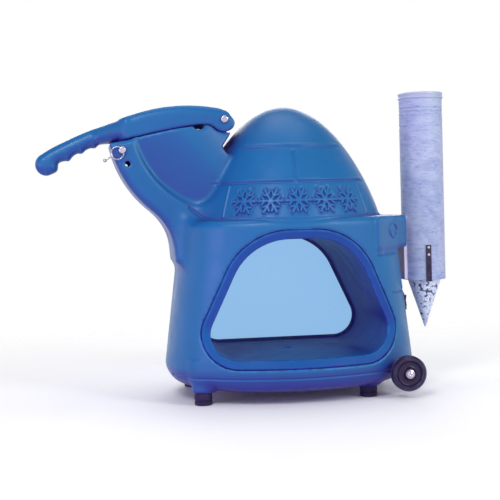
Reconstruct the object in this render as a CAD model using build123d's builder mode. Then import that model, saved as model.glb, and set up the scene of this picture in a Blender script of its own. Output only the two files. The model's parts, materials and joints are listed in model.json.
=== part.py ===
"""Countertop shaved ice machine: a hand lever, an igloo-shaped moulded cabinet and a cone cup dispenser.

Millimetres. +X points to the wheels and the cup dispenser, -Y to the operator's serving opening, +Z up.
The origin is on the resting surface, under the middle of the whole machine.
"""

import os
from math import cos, radians, sin

from build123d import *

os.makedirs("parts", exist_ok=True)

# ---------------------------------------------------------------- driving dimensions
centre_x = 85.0  # axis of the dome and middle of the base
wall = 6.0  # moulded wall

foot_height = 26.0
foot_radius = 18.5
foot_x_left = -117.0
foot_x_right = 234.0
foot_y = 125.0

deck_z = 380.0  # top of the base, where the dome stands
base_half_width = 268.4
base_half_depth = 216.0
base_corner_radius = 58.0
front_bow = 105.0  # how far the middle of the front stands ahead of its corners
belly_z = 75.0  # height where the base is widest
top_half_width = 225.0
top_half_depth = 210.0
deck_hole_radius = 145.0

opening_bottom_z = 77.0
opening_top_z = 358.0
opening_bottom_half_width = 243.0
opening_top_half_width = 115.0
opening_bottom_radius = 70.0
opening_top_radius = 140.0
ring_width = 18.0
liner_wall = 5.0

dome_radius = 207.0
dome_height = 240.0
dome_crown_power = 2.0  # roundness of the dome at its top
dome_foot_power = 1.15  # and at its foot, where 1 would be straight
dome_wall = 5.0

pivot_x = -49.5
pivot_z = 592.0
pivot_radius = 6.0
band_outer = 246.0
band_inner = 190.0
band_wall = 6.0
band_half_width = 85.0
panel_half_width = 72.0
band_top_angle = 190.6

pin_reach = 224.0  # lock pin's distance from the pivot
pin_angle = 195.6
spare_hole_angle = 203.4
pin_radius = 5.45

hood_half_width = 78.5
hood_gap = 0.5

cutter_z = 466.0
cutter_x = -34.0
disc_radius = 60.0
shaft_radius = 8.0
motor_radius = 62.0

arm_end_x = 344.3
arm_half_width = 62.0
arm_low_z = 309.0
arm_high_z = 379.0

tube_x = 398.3
tube_radius = 47.5
tube_wall = 2.0
tube_low_z = 234.0
tube_high_z = 642.0
cup_tip_z = 126.0
cup_rim_radius = 41.5
cup_height = 121.0
cup_pitch = 9.5
cup_count = 39
paper = 0.6

wheel_x = 305.0
wheel_z = 53.0
wheel_radius = 37.0
wheel_inner_y = 174.0
wheel_width = 24.0
axle_radius = 6.0
running = 0.05  # radial clearance of everything that turns or slides


def write(piece, name):
    """Label a finished piece and write it."""
    piece.part.label = name
    export_step(piece.part, "parts/" + name + ".step")


def polar(radius, angle):
    """A point of the side view at a distance and an angle from the lever's pivot."""
    return (pivot_x + radius * cos(radians(angle)), pivot_z + radius * sin(radians(angle)))


def across(y):
    """The side-view plane at a given depth, seen from the front."""
    return Plane(origin=(0, y, 0), x_dir=(1, 0, 0), z_dir=(0, -1, 0))


def end_on(x):
    """A plane square to X, with its own X along Y."""
    return Plane(origin=(x, 0, 0), x_dir=(0, 1, 0), z_dir=(1, 0, 0))


# ---------------------------------------------------------------- forms shared by several pieces
def base_plan(z, half_width, half_depth, corner_radius):
    """Barrel-shaped outline: straight sides, bowed front and back, round corners."""
    corner_depth = half_depth - front_bow * (half_width / base_half_width) ** 2
    with BuildSketch(Plane(origin=(centre_x, 0, z))) as outline:
        with BuildLine():
            front = ThreePointArc(
                (-half_width, -corner_depth), (0, -half_depth), (half_width, -corner_depth)
            )
            right = Line(front @ 1, (half_width, corner_depth))
            back = ThreePointArc(right @ 1, (0, half_depth), (-half_width, corner_depth))
            Line(back @ 1, front @ 0)
        make_face()
        fillet(outline.vertices(), corner_radius)
    return outline.sketch


def base_form(inset):
    """The whole base as a solid, made smaller all round by inset."""
    sections = [
        (foot_height, base_half_width - 36, base_half_depth - 20),
        (foot_height + 18, base_half_width - 11, base_half_depth - 5),
        (belly_z, base_half_width, base_half_depth),
        (deck_z, top_half_width, top_half_depth),
    ]
    last = len(sections) - 1
    plans = []
    for step, (z, half_width, half_depth) in enumerate(sections):
        height = z + inset if step == 0 else z - inset if step == last else z
        plans.append(
            base_plan(height, half_width - inset, half_depth - inset, base_corner_radius - inset)
        )
    with BuildPart() as form:
        loft(sections=plans, ruled=True)
    return form.part


def opening_form(inset):
    """The serving opening's outline run from front to back, made smaller by inset."""
    with BuildSketch(Plane(origin=(centre_x, 0, 0), x_dir=(1, 0, 0), z_dir=(0, -1, 0))) as outline:
        with BuildLine():
            Polyline(
                (-opening_bottom_half_width, opening_bottom_z),
                (opening_bottom_half_width, opening_bottom_z),
                (opening_top_half_width, opening_top_z),
                (-opening_top_half_width, opening_top_z),
                close=True,
            )
        make_face()
        fillet(outline.vertices().group_by(Axis.Y)[0], opening_bottom_radius)
        fillet(outline.vertices().group_by(Axis.Y)[-1], opening_top_radius)
        if inset > 0:
            offset(amount=-inset)
    with BuildPart() as form:
        extrude(outline.sketch, amount=260, both=True)
    return form.part


def dome_profile(shrink):
    """Points of the dome's half profile, from its foot to its crown."""
    points = []
    for step in (0, 1, 2, 3, 4, 5, 6, 8):
        turn = radians(90.0 * step / 8)
        reach = (dome_radius - shrink) * cos(turn) ** (2 / dome_crown_power)
        rise = (dome_height - shrink) * sin(turn) ** (2 / dome_foot_power)
        points.append((max(reach, 0.0), rise))
    return points


def dome_form(shrink, foot_z):
    """A solid dome standing at foot_z."""
    points = dome_profile(shrink)
    with BuildPart() as form:
        with BuildSketch(Plane(origin=(centre_x, 0, foot_z), x_dir=(1, 0, 0), z_dir=(0, -1, 0))):
            with BuildLine():
                curve = Spline(*points, tangents=((-0.15, 1), (-1, 0)))
                Polyline(curve @ 1, (0, 0), curve @ 0)
            make_face()
        revolve(axis=Axis((centre_x, 0, 0), (0, 0, 1)))
    return form.part


def neck_outline(inset):
    """Side view of the neck's curved band and the fill that ties it to the base."""
    with BuildSketch(across(0)) as outline:
        with BuildLine():
            inset_angle = inset * 0.25  # degrees along the band
            top_out = polar(band_outer - inset, band_top_angle + inset_angle)
            top_in = polar(band_inner + inset, band_top_angle + inset_angle)
            waist = polar(band_outer - inset, 231)
            floor_end = polar(band_inner + inset, 262 - inset_angle)
            outside = ThreePointArc(top_out, polar(band_outer - inset, 211), waist)
            flare = ThreePointArc(waist, (inset - 170, 352), (inset - 160, 312 + inset))
            inside = ThreePointArc(top_in, polar(band_inner + inset, 226), floor_end)
            Polyline(flare @ 1, (-90 - inset, 312 + inset), (floor_end[0], 386 + inset), inside @ 1)
            Line(inside @ 0, outside @ 0)
        make_face()
    return outline.sketch_local


def panel_outline(radius):
    """Side view of the ice chamber: a quarter disc about the pivot, open towards the cutter."""
    right_x = cutter_x - 6
    bottom = (right_x, pivot_z - (radius**2 - (right_x - pivot_x) ** 2) ** 0.5)
    with BuildSketch(across(0)) as outline:
        with BuildLine():
            left = polar(radius, 193)
            curve = ThreePointArc(left, polar(radius, 232), bottom)
            Polyline(curve @ 1, (right_x, 548), (-97, 568), left)
        make_face()
    return outline.sketch_local


base_outer = base_form(0)
base_inner = base_form(wall)

# ---------------------------------------------------------------- cabinet: base shell with dispenser arm
with BuildPart() as cabinet_shell:
    add(base_outer)
    with BuildSketch(end_on(centre_x + 150)) as arm_section:
        with Locations((0, (arm_low_z + arm_high_z) / 2)):
            RectangleRounded(2 * arm_half_width, arm_high_z - arm_low_z, 14)
    extrude(amount=arm_end_x - centre_x - 150)
    with BuildSketch(across(0)):
        with Locations((wheel_x, wheel_z)):
            Circle(axle_radius + 10)
    extrude(amount=wheel_inner_y - 2, both=True)
    add(base_inner, mode=Mode.SUBTRACT)
    with BuildSketch(end_on(centre_x + 150)):
        with Locations((0, (arm_low_z + arm_high_z) / 2)):
            RectangleRounded(2 * (arm_half_width - wall), arm_high_z - arm_low_z - 2 * wall, 8)
    extrude(amount=arm_end_x - centre_x - 150 - wall, mode=Mode.SUBTRACT)
    add(opening_form(0), mode=Mode.SUBTRACT)
    with BuildSketch(Plane(origin=(centre_x, 0, deck_z - 2 * wall))):
        Circle(deck_hole_radius)
    extrude(amount=4 * wall, mode=Mode.SUBTRACT)
    with BuildSketch(Plane(origin=(wheel_x, 0, 0), x_dir=(1, 0, 0), z_dir=(0, -1, 0))):
        with Locations((0, wheel_z)):
            Circle(axle_radius + running)
    extrude(amount=260, both=True, mode=Mode.SUBTRACT)
    with BuildSketch(Plane(origin=(centre_x, 0, 0))):
        Circle(10.1)
    extrude(amount=60, mode=Mode.SUBTRACT)

# ---------------------------------------------------------------- ice bin liner with its two rim rings
liner_outside = opening_form(ring_width - liner_wall)
liner_inside = opening_form(ring_width)

with BuildPart() as ring_zone:
    add(base_outer)
    add(base_form(wall + 2), mode=Mode.SUBTRACT)

with BuildPart() as bin_liner:
    add(opening_form(0.3))
    add(ring_zone.part, mode=Mode.INTERSECT)
    add(liner_outside & base_outer)
    add(liner_inside, mode=Mode.SUBTRACT)
    with BuildSketch(Plane(origin=(15, 0, 290))):
        Rectangle(50, 76)
    extrude(amount=70, mode=Mode.SUBTRACT)
    with BuildSketch(Plane(origin=(centre_x, 0, 60))):
        Circle(8)
    extrude(amount=60, mode=Mode.SUBTRACT)

# ---------------------------------------------------------------- back window, gasket and clips
window_y = 150.0

with BuildPart() as window_zone:
    with BuildSketch(across(window_y)):
        with Locations((centre_x, 200)):
            Rectangle(600, 400)
    extrude(amount=-4)

with BuildPart() as back_window:
    add(opening_form(ring_width + 3))
    add(window_zone.part, mode=Mode.INTERSECT)

with BuildPart() as gasket_zone:
    with BuildSketch(across(window_y - 2)):
        with Locations((centre_x, 200)):
            Rectangle(600, 400)
    extrude(amount=-8)

with BuildPart() as window_gasket:
    add(opening_form(ring_width + 0.1))
    add(gasket_zone.part, mode=Mode.INTERSECT)
    add(opening_form(ring_width + 6), mode=Mode.SUBTRACT)
    add(back_window.part, mode=Mode.SUBTRACT)

clip_places = [(centre_x + x, z) for x, z in ((-100, 101.5), (100, 101.5), (-48, 329.5), (48, 329.5))]
with BuildPart() as window_clips:
    with BuildSketch(across(window_y + 6.2)):
        with Locations(*clip_places):
            RectangleRounded(22, 11, 3)
    extrude(amount=-3)

# ---------------------------------------------------------------- neck and hopper
with BuildPart() as neck_hollow:
    with BuildSketch(across(0)):
        add(neck_outline(band_wall))
    extrude(amount=band_half_width - wall, both=True)

with BuildPart() as chamber_solid:
    with BuildSketch(across(0)):
        add(panel_outline(band_inner + 1))
    extrude(amount=panel_half_width, both=True)
    with BuildSketch(across(0)):
        with BuildLine():
            Polyline((-88, 556), (-64.5, 592), (-34.5, 592), (-50.5, 540), (-80, 540), close=True)
        make_face()
        with Locations((pivot_x, pivot_z)):
            Circle(15)
    extrude(amount=panel_half_width, both=True)

with BuildPart() as chamber_hollow:
    with BuildSketch(across(0)):
        with BuildLine():
            start = polar(band_inner, band_top_angle - 6)
            curve = ThreePointArc(start, polar(band_inner, 226), polar(band_inner, 274.5))
            Polyline(curve @ 1, (10, 620), (-200, 660), start)
        make_face()
    extrude(amount=panel_half_width - wall, both=True)

with BuildPart() as hopper_neck:
    with BuildSketch(across(0)):
        add(neck_outline(0))
    extrude(amount=band_half_width, both=True)
    add(neck_hollow.part, mode=Mode.SUBTRACT)
    add(chamber_solid.part)
    with BuildSketch(across(0)):
        with BuildLine():
            floor_curve = ThreePointArc(
                polar(band_inner, 250), polar(band_inner, 258), (cutter_x - 6, pivot_z - band_inner + 0.3)
            )
            low_curve = ThreePointArc(
                polar(band_inner + band_wall, 250),
                polar(band_inner + band_wall, 258),
                (cutter_x - 6, pivot_z - band_inner - band_wall + 0.3),
            )
            Line(floor_curve @ 0, low_curve @ 0)
            Line(floor_curve @ 1, low_curve @ 1)
        make_face()
    extrude(amount=panel_half_width, both=True)
    add(chamber_hollow.part, mode=Mode.SUBTRACT)
    with BuildSketch(across(0)):
        with BuildLine():
            slot_out = ThreePointArc(
                polar(band_outer - band_wall, 186), polar(band_outer - band_wall, 190),
                polar(band_outer - band_wall, 194),
            )
            slot_in = ThreePointArc(
                polar(band_inner + band_wall, 186), polar(band_inner + band_wall, 190),
                polar(band_inner + band_wall, 194),
            )
            Line(slot_out @ 0, slot_in @ 0)
            Line(slot_out @ 1, slot_in @ 1)
        make_face()
    extrude(amount=24, both=True, mode=Mode.SUBTRACT)
    with BuildSketch(across(0)):
        with Locations(polar(pin_reach, pin_angle), polar(pin_reach, spare_hole_angle)):
            Circle(pin_radius + running)
        with Locations((pivot_x, pivot_z)):
            Circle(pivot_radius)
    extrude(amount=120, both=True, mode=Mode.SUBTRACT)
    add(base_outer, mode=Mode.SUBTRACT)

# ---------------------------------------------------------------- dome cover and its fixing ring
dome_foot_z = deck_z
with BuildPart() as neck_clearance:
    with BuildSketch(across(0)):
        add(neck_outline(-0.4))
    extrude(amount=band_half_width + 0.4, both=True)
    with BuildSketch(across(0)):
        add(panel_outline(band_inner + band_wall + 2))
    extrude(amount=panel_half_width + 0.4, both=True)
    with BuildSketch(across(0)):
        with BuildLine():
            Polyline((-140, 366), (-36, 366), (-36, 420), (-140, 470), close=True)
        make_face()
    extrude(amount=panel_half_width + 0.4, both=True)

screw_angles = [15, 62, 118, 152]


def dome_screw_set(shank_radius):
    """Four screws through the dome's foot into its ring, all behind the middle."""
    with BuildPart() as screws:
        for angle in screw_angles:
            out = Vector(cos(radians(angle)), sin(radians(angle)), 0)
            seat = Vector(centre_x, 0, dome_foot_z + 9) + out * (dome_radius - dome_wall - 8)
            with BuildSketch(Plane(origin=seat, z_dir=out)):
                Circle(shank_radius)
            extrude(amount=12)
            with BuildSketch(Plane(origin=seat + out * 10.2, z_dir=out)):
                Circle(5.5)
            extrude(amount=3.5)
    return screws


dome_screws = dome_screw_set(2.4)
screw_room = dome_screw_set(2.5).part


with BuildPart() as dome_cover:
    add(dome_form(0, dome_foot_z))
    add(dome_form(dome_wall, dome_foot_z - 0.01), mode=Mode.SUBTRACT)
    add(neck_clearance.part, mode=Mode.SUBTRACT)
    add(screw_room, mode=Mode.SUBTRACT)

with BuildPart() as dome_ring:
    with BuildSketch(Plane(origin=(centre_x, 0, dome_foot_z))):
        Circle(dome_radius - dome_wall - 5)
        Circle(dome_radius - dome_wall - 8, mode=Mode.SUBTRACT)
    extrude(amount=14)
    add(neck_clearance.part, mode=Mode.SUBTRACT)
    add(screw_room, mode=Mode.SUBTRACT)

# ---------------------------------------------------------------- deck plate, motor and its saddle
plate_z = deck_z
plate_thick = 3.0
with BuildPart() as deck_plate:
    with BuildSketch(Plane(origin=(centre_x, 0, plate_z))):
        Circle(deck_hole_radius + 13)
    extrude(amount=plate_thick)
    with BuildSketch(Plane(origin=(15, 0, plate_z))):
        Rectangle(66.4, 92.4)
    extrude(amount=plate_thick, mode=Mode.SUBTRACT)
    add(neck_clearance.part, mode=Mode.SUBTRACT)

motor_face_x = 66.0
motor_length = 148.0
with BuildPart() as motor:
    with BuildSketch(end_on(motor_face_x)):
        with Locations((0, cutter_z)):
            Circle(motor_radius)
    extrude(amount=motor_length)
    chamfer(motor.edges().filter_by(GeomType.CIRCLE), 5)
    with BuildSketch(end_on(motor_face_x - 10)):
        with Locations((0, cutter_z)):
            Circle(22)
    extrude(amount=12)
    with BuildSketch(end_on(motor_face_x - 10)):
        with Locations((0, cutter_z)):
            Circle(shaft_radius + running)
    extrude(amount=40, mode=Mode.SUBTRACT)

saddle_x = 140.0
with BuildPart() as motor_saddle:
    with BuildSketch(Plane(origin=(saddle_x, 0, plate_z + plate_thick))):
        Rectangle(90, 100)
    extrude(amount=46)
    with BuildSketch(end_on(0)):
        with Locations((0, cutter_z)):
            Circle(motor_radius)
    extrude(amount=300, mode=Mode.SUBTRACT)
    with BuildSketch(Plane(origin=(saddle_x, 0, plate_z + plate_thick))):
        Rectangle(90, 140)
    extrude(amount=6)

with BuildPart() as motor_bolts:
    with BuildSketch(Plane(origin=(saddle_x, 0, plate_z + plate_thick + 6))):
        with GridLocations(60, 122, 2, 2):
            RegularPolygon(6, 6)
    extrude(amount=5)

# ---------------------------------------------------------------- cutter head
housing_left_x = cutter_x - 4
housing_right_x = 14.0
housing_radius = disc_radius + 7
with BuildPart() as cutter_housing:
    with BuildSketch(end_on(housing_left_x)):
        with Locations((0, cutter_z)):
            Circle(housing_radius)
    extrude(amount=housing_right_x - housing_left_x)
    with BuildSketch(end_on(housing_left_x)):
        with Locations((0, cutter_z - housing_radius + 2)):
            Rectangle(104, 2 * (cutter_z - housing_radius + 2 - plate_z - plate_thick))
    extrude(amount=housing_right_x - housing_left_x)
    with BuildSketch(end_on(housing_left_x)):
        with Locations((0, cutter_z)):
            Circle(disc_radius + 3)
    extrude(amount=housing_right_x - housing_left_x - 6, mode=Mode.SUBTRACT)
    with BuildSketch(end_on(housing_right_x - 6)):
        with Locations((0, cutter_z)):
            Circle(15)
    extrude(amount=6, mode=Mode.SUBTRACT)
    with BuildSketch(Plane(origin=(-8, 0, plate_z))):
        Rectangle(28, 80)
    extrude(amount=60, mode=Mode.SUBTRACT)
    with BuildSketch(across(0)):
        with Locations((0, 340)):
            Rectangle(200, 2 * (plate_z + plate_thick - 340))
    extrude(amount=100, both=True, mode=Mode.SUBTRACT)

with BuildPart() as shaft_bush:
    with BuildSketch(end_on(housing_right_x - 6)):
        with Locations((0, cutter_z)):
            Circle(15)
            Circle(shaft_radius + running, mode=Mode.SUBTRACT)
    extrude(amount=10)

with BuildPart() as drive_shaft:
    with BuildSketch(end_on(cutter_x - 2)):
        with Locations((0, cutter_z)):
            Circle(shaft_radius)
    extrude(amount=motor_face_x + 18 - cutter_x + 2)

with BuildPart() as cutter_disc:
    with BuildSketch(end_on(cutter_x)):
        with Locations((0, cutter_z)):
            Circle(disc_radius)
            Circle(shaft_radius, mode=Mode.SUBTRACT)
            with PolarLocations(38, 3, 90):
                Rectangle(44, 11, mode=Mode.SUBTRACT)
    extrude(amount=6)

with BuildPart() as shaving_blades:
    with BuildSketch(end_on(cutter_x - 1.5)):
        with Locations((0, cutter_z)):
            with PolarLocations(38, 3, 90):
                with Locations((0, -9.5)):
                    Rectangle(44, 13)
    extrude(amount=1.5)

with BuildPart() as blade_screws:
    with BuildSketch(end_on(cutter_x - 3.5)):
        with Locations((0, cutter_z)):
            with PolarLocations(38, 3, 90):
                with Locations((-13, -11), (13, -11)):
                    Circle(3.2)
    extrude(amount=2)

with BuildPart() as disc_nut:
    with BuildSketch(end_on(cutter_x - 8)):
        with Locations((0, cutter_z)):
            RegularPolygon(12, 6)
            Circle(shaft_radius, mode=Mode.SUBTRACT)
    extrude(amount=8)

with BuildPart() as ice_chute:
    with BuildSketch(Plane(origin=(15, 0, 290))):
        Rectangle(66, 92)
        Rectangle(60, 86, mode=Mode.SUBTRACT)
    extrude(amount=plate_z + plate_thick - 290)
    add(opening_form(ring_width - liner_wall), mode=Mode.SUBTRACT)

# ---------------------------------------------------------------- lever, pusher and pivot bolt
with BuildPart() as hood_solid:
    with BuildSketch(across(0)):
        with BuildLine():
            crown = ThreePointArc((-268, 598), (-168, 623.5), (-57, 617.2))
            knuckle = ThreePointArc(crown @ 1, (pivot_x + 26.5, pivot_z), (pivot_x - 2, pivot_z - 26))
            bay = ThreePointArc(knuckle @ 1, (-84, 581), (-104, 581.5))
            belly = ThreePointArc(bay @ 1, (-190, 567.5), (-268, 553.2))
            Line(belly @ 1, crown @ 0)
        make_face()
    extrude(amount=hood_half_width, both=True)

with BuildPart() as hood_hollow:
    with BuildSketch(across(0)):
        with BuildLine():
            crown = ThreePointArc((-238, 600), (-168, 616), (-57, 610))
            Polyline(crown @ 1, (0, 600), (0, 500), (-238, 500), crown @ 0)
        make_face()
    extrude(amount=panel_half_width + hood_gap, both=True)

with BuildPart() as lever_arm:
    add(hood_solid.part)
    add(hood_hollow.part, mode=Mode.SUBTRACT)
    with BuildSketch(across(0)):
        with BuildLine():
            top = Spline((-262, 598), (-343, 574), (-404, 548), (-436, 529))
            end = ThreePointArc(top @ 1, (-448, 508), (-422, 484.5))
            fingers = Polyline(
                end @ 1, (-400, 496), (-397, 513), (-382, 515), (-369, 526), (-352, 529),
                (-339, 538), (-324, 540), (-310, 549), (-290, 548), (-262, 553),
            )
            Line(fingers @ 1, top @ 0)
        make_face()
    extrude(amount=22, both=True)
    with BuildSketch(Plane(origin=(-262, 0, 576), x_dir=(0, 1, 0), z_dir=(-1, 0, -0.25))):
        RectangleRounded(2 * hood_half_width - 3, 40, 16)
    with BuildSketch(Plane(origin=(-318, 0, 563), x_dir=(0, 1, 0), z_dir=(-1, 0, -0.35))):
        RectangleRounded(46, 30, 12)
    loft(ruled=True)
    with BuildSketch(across(0)):
        with BuildLine():
            tongue_out = ThreePointArc(
                polar(band_outer - 12, 187), polar(band_outer - 12, 191), polar(band_outer - 12, 198)
            )
            tongue_in = ThreePointArc(
                polar(band_inner + 14, 187), polar(band_inner + 14, 191), polar(band_inner + 14, 198)
            )
            Line(tongue_out @ 0, tongue_in @ 0)
            Line(tongue_out @ 1, tongue_in @ 1)
        make_face()
    extrude(amount=20, both=True)
    with BuildSketch(across(0)):
        with Locations((-76, 613)):
            Rectangle(38, 9)
    extrude(amount=34, both=True)
    with BuildSketch(across(0)):
        with Locations(polar(pin_reach, pin_angle)):
            Circle(pin_radius + 0.6)
        with BuildLine():
            notch_top = polar(pin_reach - pin_radius - 0.6, pin_angle)
            notch_side = polar(pin_reach + pin_radius + 0.6, pin_angle)
            notch_low = polar(pin_reach + pin_radius + 0.6, pin_angle + 6)
            notch_end = polar(pin_reach - pin_radius - 0.6, pin_angle + 6)
            Polyline(notch_top, notch_side, notch_low, notch_end, close=True)
        make_face()
    extrude(amount=30, both=True, mode=Mode.SUBTRACT)
    with BuildSketch(across(0)):
        with Locations((pivot_x, pivot_z)):
            Circle(pivot_radius + running)
    extrude(amount=100, both=True, mode=Mode.SUBTRACT)

with BuildPart() as ice_pusher:
    with BuildSketch(across(0)):
        with BuildLine():
            Polyline(
                (-93, 608.4), (-61, 608.4), (-61, 600), (-64, 600), (-64, 540), (-52, 540),
                (-52, 412), (-62, 412), (-62, 528), (-88, 540), (-88, 600), (-93, 600), close=True,
            )
        make_face()
    extrude(amount=14, both=True)
    with BuildSketch(across(0)):
        with Locations((-77, 604.4)):
            Rectangle(32, 8)
    extrude(amount=32, both=True)
    with BuildSketch(end_on(-60)):
        with Locations((0, (412 + 540) / 2)):
            RectangleRounded(2 * (panel_half_width - wall) - 6, 128, 12)
    extrude(amount=8)
    with BuildSketch(across(0)):
        with BuildLine():
            Polyline((-60, 420), (-60, 530), (-76, 522), (-66, 430), close=True)
        make_face()
    extrude(amount=4, both=True)

with BuildPart() as pusher_screws:
    with BuildSketch(Plane(origin=(-77, 0, 600.4), z_dir=(0, 0, -1))):
        with Locations((0, -24), (0, 24)):
            Circle(4.5)
    extrude(amount=3.5)

with BuildPart() as pivot_bolt:
    with BuildSketch(across(-hood_half_width - 0.3)):
        with Locations((pivot_x, pivot_z)):
            Circle(8)
    extrude(amount=4)
    fillet(pivot_bolt.faces().sort_by(Axis.Y)[0].edges(), 2.5)
    with BuildSketch(across(-hood_half_width - 0.3)):
        with Locations((pivot_x, pivot_z)):
            Circle(pivot_radius)
    extrude(amount=-2 * hood_half_width - 10)

with BuildPart() as pivot_nut:
    with BuildSketch(across(hood_half_width + 0.3)):
        with Locations((pivot_x, pivot_z)):
            RegularPolygon(9.5, 6)
            Circle(pivot_radius, mode=Mode.SUBTRACT)
    extrude(amount=-7)

# ---------------------------------------------------------------- lock pin, its ring and toggle
pin_x, pin_z = polar(pin_reach, pin_angle)
head_y = -band_half_width - 1
ring_radius = 13.0
ring_wire = 1.2
ring_play = 1.2  # the ring's wire bows this far past the hole's axis
ring_dir = Vector(-0.87, 0, -0.5).normalized()
head_centre = Vector(pin_x, head_y - 4.5, pin_z)
ring_centre = head_centre + ring_dir * (ring_radius - ring_play)
hole_dir = Vector(0.5, 0, -0.87).normalized()

with BuildPart() as lock_pin:
    with BuildSketch(across(head_y)):
        with Locations((pin_x, pin_z)):
            Circle(7.6)
    extrude(amount=9)
    fillet(lock_pin.faces().sort_by(Axis.Y)[0].edges(), 2.5)
    with BuildSketch(across(head_y)):
        with Locations((pin_x, pin_z)):
            Circle(pin_radius)
    extrude(amount=-2 * band_half_width - 14)
    chamfer(lock_pin.faces().sort_by(Axis.Y)[-1].edges(), 2)
    with BuildSketch(Plane(origin=head_centre - hole_dir * 10, z_dir=hole_dir)):
        Circle(ring_wire + ring_play + 0.2)
    extrude(amount=20, mode=Mode.SUBTRACT)

with BuildPart() as pin_ring:
    with BuildSketch(Plane(origin=ring_centre, x_dir=(1, 0, 0), z_dir=(0, 0, 1))):
        with Locations((ring_radius, 0)):
            Circle(ring_wire)
    revolve(axis=Axis(tuple(ring_centre), (0, 1, 0)))

toggle_start = ring_centre + ring_dir * (ring_radius + ring_wire)
with BuildPart() as pin_toggle:
    with BuildSketch(Plane(origin=toggle_start, z_dir=ring_dir)):
        Circle(1.6)
    extrude(amount=14)
    with Locations(tuple(toggle_start + ring_dir * 16)):
        Sphere(3.7)

# ---------------------------------------------------------------- feet, axle and wheels
foot_places = [(x, y) for x in (foot_x_left, foot_x_right) for y in (-foot_y, foot_y)]
with BuildPart() as rubber_feet:
    with BuildSketch(Plane.XY):
        with Locations(*foot_places):
            Circle(foot_radius)
    extrude(amount=foot_height)
    fillet(rubber_feet.faces().sort_by(Axis.Z)[:4].edges(), 2)
    with BuildSketch(Plane.XY):
        with Locations(*foot_places):
            Circle(7)
    extrude(amount=9, mode=Mode.SUBTRACT)
    with BuildSketch(Plane.XY):
        with Locations(*foot_places):
            Circle(2.6)
    extrude(amount=foot_height, mode=Mode.SUBTRACT)

with BuildPart() as foot_screws:
    with BuildSketch(Plane.XY.offset(5.5)):
        with Locations(*foot_places):
            Circle(5.5)
    extrude(amount=3.5)
    with BuildSketch(Plane.XY.offset(5.5)):
        with Locations(*foot_places):
            Circle(2.5)
    extrude(amount=foot_height - 5.5)

axle_half = wheel_inner_y + wheel_width + 3
with BuildPart() as wheel_axle:
    with BuildSketch(across(-axle_half)):
        with Locations((wheel_x, wheel_z)):
            Circle(axle_radius)
    extrude(amount=-2 * axle_half)

with BuildPart() as axle_caps:
    for side in (-1, 1):
        with BuildSketch(across(side * (axle_half - 2))):
            with Locations((wheel_x, wheel_z)):
                Circle(9)
                Circle(axle_radius, mode=Mode.SUBTRACT)
        extrude(amount=-2 * side)
        with BuildSketch(across(side * axle_half)):
            with Locations((wheel_x, wheel_z)):
                Circle(9)
        extrude(amount=-4 * side)


def make_wheel(side):
    """A solid rubber-tyred wheel with dished faces; side is -1 in front and 1 behind."""
    half = wheel_width / 2
    with BuildPart() as wheel:
        with BuildSketch(Plane(origin=(wheel_x, side * (wheel_inner_y + half), wheel_z))):
            with BuildLine():
                tread = ThreePointArc(
                    (wheel_radius - 3, -half), (wheel_radius, 0), (wheel_radius - 3, half)
                )
                Polyline(
                    tread @ 1, (wheel_radius - 9, half), (wheel_radius - 13, half - 5), (13, half - 5),
                    (11, half), (axle_radius + running, half), (axle_radius + running, -half),
                    (11, -half), (13, 5 - half), (wheel_radius - 13, 5 - half),
                    (wheel_radius - 9, -half), tread @ 0,
                )
            make_face()
        revolve(axis=Axis((wheel_x, 0, wheel_z), (0, 1, 0)))
    return wheel


front_wheel = make_wheel(-1)
back_wheel = make_wheel(1)

# ---------------------------------------------------------------- drain
with BuildPart() as drain_spout:
    with BuildSketch(Plane(origin=(centre_x, 0, 9))):
        Circle(8)
    extrude(amount=16)
    with BuildSketch(Plane(origin=(centre_x, 0, 25))):
        Circle(10)
    extrude(amount=opening_bottom_z + ring_width - liner_wall - 25)
    with BuildSketch(Plane(origin=(centre_x, 0, 9))):
        Circle(5.5)
    extrude(amount=120, mode=Mode.SUBTRACT)

# ---------------------------------------------------------------- switch and power inlet on the right wall
side_slope = (base_half_width - top_half_width) / (deck_z - belly_z)


def side_panel(y, z, lift):
    """A plane on the right side wall, its own X along Y and its normal square to the wall."""
    surface_x = centre_x + base_half_width - side_slope * (z - belly_z)
    normal = Vector(1, 0, side_slope).normalized()
    return Plane(origin=Vector(surface_x, y, z) + normal * lift, x_dir=(0, 1, 0), z_dir=normal)


switch_y = -38.0
inlet_y = 34.0
service_z = 190.0
with BuildPart() as switch_bezel:
    with BuildSketch(side_panel(switch_y, service_z, 0.2)):
        RectangleRounded(27, 38, 3)
        Rectangle(19.4, 30.4, mode=Mode.SUBTRACT)
    extrude(amount=2.5)

with BuildPart() as rocker_switch:
    switch_place = side_panel(switch_y, service_z, 0)
    with BuildSketch(Plane(origin=switch_place.origin, x_dir=switch_place.z_dir, z_dir=(0, -1, 0))):
        with BuildLine():
            Polyline(
                (3.8, -12.4), (1.2, -3), (1.2, 3), (3.8, 12.4), (8.2, 12.4), (5, 0), (5.2, -12.4),
                close=True,
            )
        make_face()
    extrude(amount=9.4, both=True)

with BuildPart() as power_inlet:
    with BuildSketch(side_panel(inlet_y, service_z, 0.2)):
        RectangleRounded(50, 31, 4)
    extrude(amount=4)
    with BuildSketch(side_panel(inlet_y, service_z, -1)):
        RectangleRounded(24, 17, 3)
    extrude(amount=8, mode=Mode.SUBTRACT)
    with BuildSketch(side_panel(inlet_y, service_z, 0.2)):
        RectangleRounded(27, 20, 3)
    extrude(amount=0.8)
    with BuildSketch(side_panel(inlet_y, service_z, 0.2)):
        with Locations((-6, -2), (6, -2), (0, 4)):
            Rectangle(1.8, 5)
    extrude(amount=3.4)

with BuildPart() as inlet_screws:
    with BuildSketch(side_panel(inlet_y, service_z, 4.2)):
        with Locations((-20, 0), (20, 0)):
            Circle(2.8)
    extrude(amount=1.6)

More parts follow.
